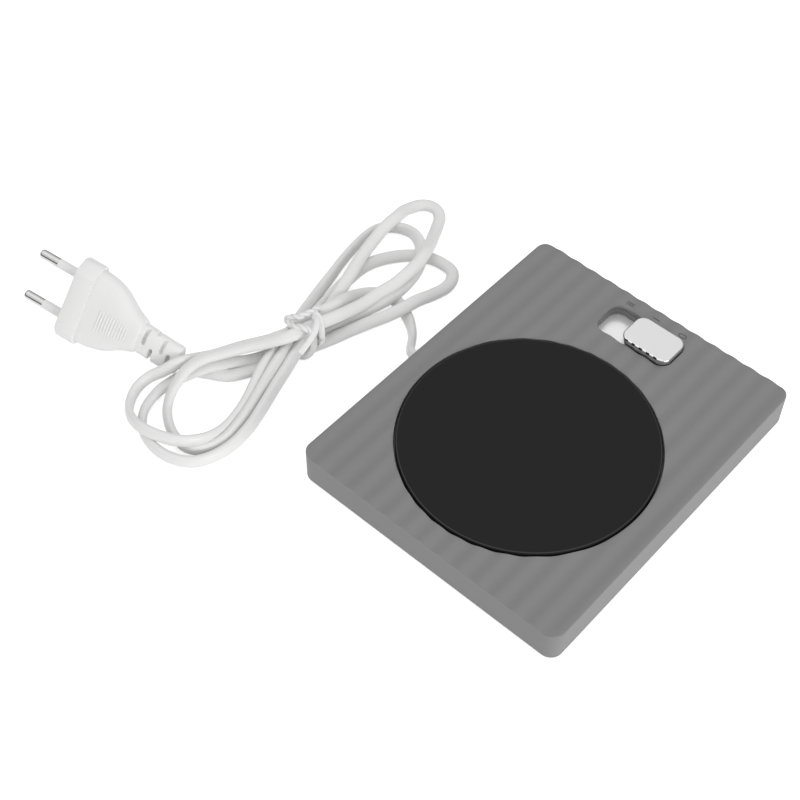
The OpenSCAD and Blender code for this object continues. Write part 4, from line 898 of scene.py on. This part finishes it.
def twist_tree():
    """Winds two strands about a line."""
    t = Tree("twisted_strands", ["Twist Pitch", "Strand Radius", "Strand Offset"])
    line = t.node("GeometryNodeMeshToCurve", [("Mesh", t.given["Geometry"])])
    part = t.node("GeometryNodeSplineParameter").outputs["Length"]
    turn = t.math("MULTIPLY", t.math("DIVIDE", part, t.given["Twist Pitch"]), 2 * math.pi)
    across = t.node("GeometryNodeInputNormal").outputs[0]
    along = t.node("GeometryNodeInputTangent").outputs[0]
    over = t.vector_math("CROSS_PRODUCT", (0, along), (1, across))
    ring = t.node("GeometryNodeCurvePrimitiveCircle", [("Resolution", 10),
                                                       ("Radius", t.given["Strand Radius"])])
    strands = []
    for start in (0.0, math.pi):
        angle = t.math("ADD", turn, start)
        a, b = (t.vector_math("SCALE", (0, way), ("Scale", t.math(
            "MULTIPLY", t.math(share, angle), t.given["Strand Offset"])))
            for way, share in ((across, "COSINE"), (over, "SINE")))
        wound = t.node("GeometryNodeSetPosition", [
            ("Geometry", line.outputs[0]), ("Offset", t.vector_math("ADD", (0, a), (1, b)))])
        strands.append(t.tube(wound.outputs[0], ring))
    t.ends(t.joined(strands))
    return t


TWIST_STEP, STRIP_STEP = 0.4, 0.6
twist_line = even_line(soft_line(TWIST, 8), TWIST_STEP)[0]
twist = piece("tie_twist", twist_line, [], tie_white)
twist.data.edges.add(len(twist_line) - 1)
for k, edge in enumerate(twist.data.edges):
    edge.vertices = (k, k + 1)
twist_tree().runs_on(twist, tie_white, Twist_Pitch=7 * MM, Strand_Radius=0.8 * MM,
                     Strand_Offset=0.62 * MM)
strip = oval(1.2, 0.5, 12, 0.6)
runs = [swept(even_line(soft_line(run, 8), STRIP_STEP)[0], strip) for run in (BAND, TONGUE, UNDER)]
tie = piece("twist_tie", *joined(runs), tie_white, sharp=60)
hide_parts("cord_tie")

# ---------------------------------------------------------------- floor and light

FLOOR_HALF, FLOOR_GREY, FLOOR_LIFT = 3, 0.86, 0.62
WORLD_LEVEL = 0.74
# Metal also shows the dim walls of the room, up to a height above the floor
WALLS_FULL, WALLS_GONE, WALLS_DIM = 0.36, 0.46, 0.92


def shows_to(tree):
    """1 on the rays that show a background: the camera's, and those off metal and glass."""
    ray = add_node(tree, "ShaderNodeLightPath").outputs
    bounced = add_math(tree, "MAXIMUM", ray["Is Glossy Ray"], ray["Is Transmission Ray"])
    return add_math(tree, "MAXIMUM", ray["Is Camera Ray"], bounced)


def floor_finish():
    """Pale floor that keeps its shadows and reads white to the camera and in metal."""
    mat = bpy.data.materials.new("floor")
    mat.use_nodes = True
    nt = mat.node_tree
    bsdf = nt.nodes["Principled BSDF"]
    for socket, value in (
            ("Base Color", (FLOOR_GREY, FLOOR_GREY, FLOOR_GREY, 1)), ("Roughness", 0.9),
            ("Specular IOR Level", 0.1), ("Emission Color", (1, 1, 1, 1))):
        bsdf.inputs[socket].default_value = value
    lift = add_math(nt, "MULTIPLY", shows_to(nt), FLOOR_LIFT)
    nt.links.new(lift, bsdf.inputs["Emission Strength"])
    return mat


floor_mesh = bpy.data.meshes.new("floor")
floor_corners = [(-FLOOR_HALF, -FLOOR_HALF, 0), (FLOOR_HALF, -FLOOR_HALF, 0),
                 (FLOOR_HALF, FLOOR_HALF, 0), (-FLOOR_HALF, FLOOR_HALF, 0)]
floor_mesh.from_pydata(floor_corners, [], [(0, 1, 2, 3)])
floor_mesh.materials.append(floor_finish())
floor = in_scene("floor", floor_mesh)


def soft_light(name, place, aim, size, power):
    """A rectangular light; place, aim and size in metres, power in watts."""
    data = bpy.data.lights.new(name, "AREA")
    data.shape = "RECTANGLE"
    data.size, data.size_y = size
    data.energy = power
    obj = in_scene(name, data)
    obj.location = place
    obj.rotation_mode = "QUATERNION"
    obj.rotation_quaternion = (Vector(aim) - Vector(place)).to_track_quat("-Z", "Y")


soft_light("side_light", place=(-0.4, -1.55, 0.42), aim=(0, 0, 0.01), size=(1.1, 0.6), power=10.5)
soft_light("top_light", place=(-0.2, 0.5, 1.9), aim=(0, 0, 0), size=(1.6, 1.6), power=3.4)
world = bpy.data.worlds.new("world")
bpy.context.scene.world = world
world.use_nodes = True
sky = world.node_tree
backdrop = sky.nodes["Background"]
backdrop.inputs["Color"].default_value = (1, 1, 1, 1)
level = add_math(sky, "MULTIPLY_ADD", shows_to(sky), 1 - WORLD_LEVEL, WORLD_LEVEL)
heading = add_node(sky, "ShaderNodeTexCoord").outputs["Generated"]
height = add_node(sky, "ShaderNodeSeparateXYZ", [(0, heading)]).outputs["Z"]
walls = add_node(sky, "ShaderNodeMapRange", [
    ("Value", height), ("From Min", WALLS_GONE), ("From Max", WALLS_FULL), ("To Min", 0.0),
    ("To Max", WALLS_DIM)], interpolation_type="SMOOTHSTEP").outputs["Result"]
off_metal = add_node(sky, "ShaderNodeLightPath").outputs["Is Glossy Ray"]
bright = add_math(sky, "SUBTRACT", 1, add_math(sky, "MULTIPLY", walls, off_metal))
sky.links.new(add_math(sky, "MULTIPLY", level, bright), backdrop.inputs["Strength"])
bpy.context.scene.view_settings.view_transform = "Standard"
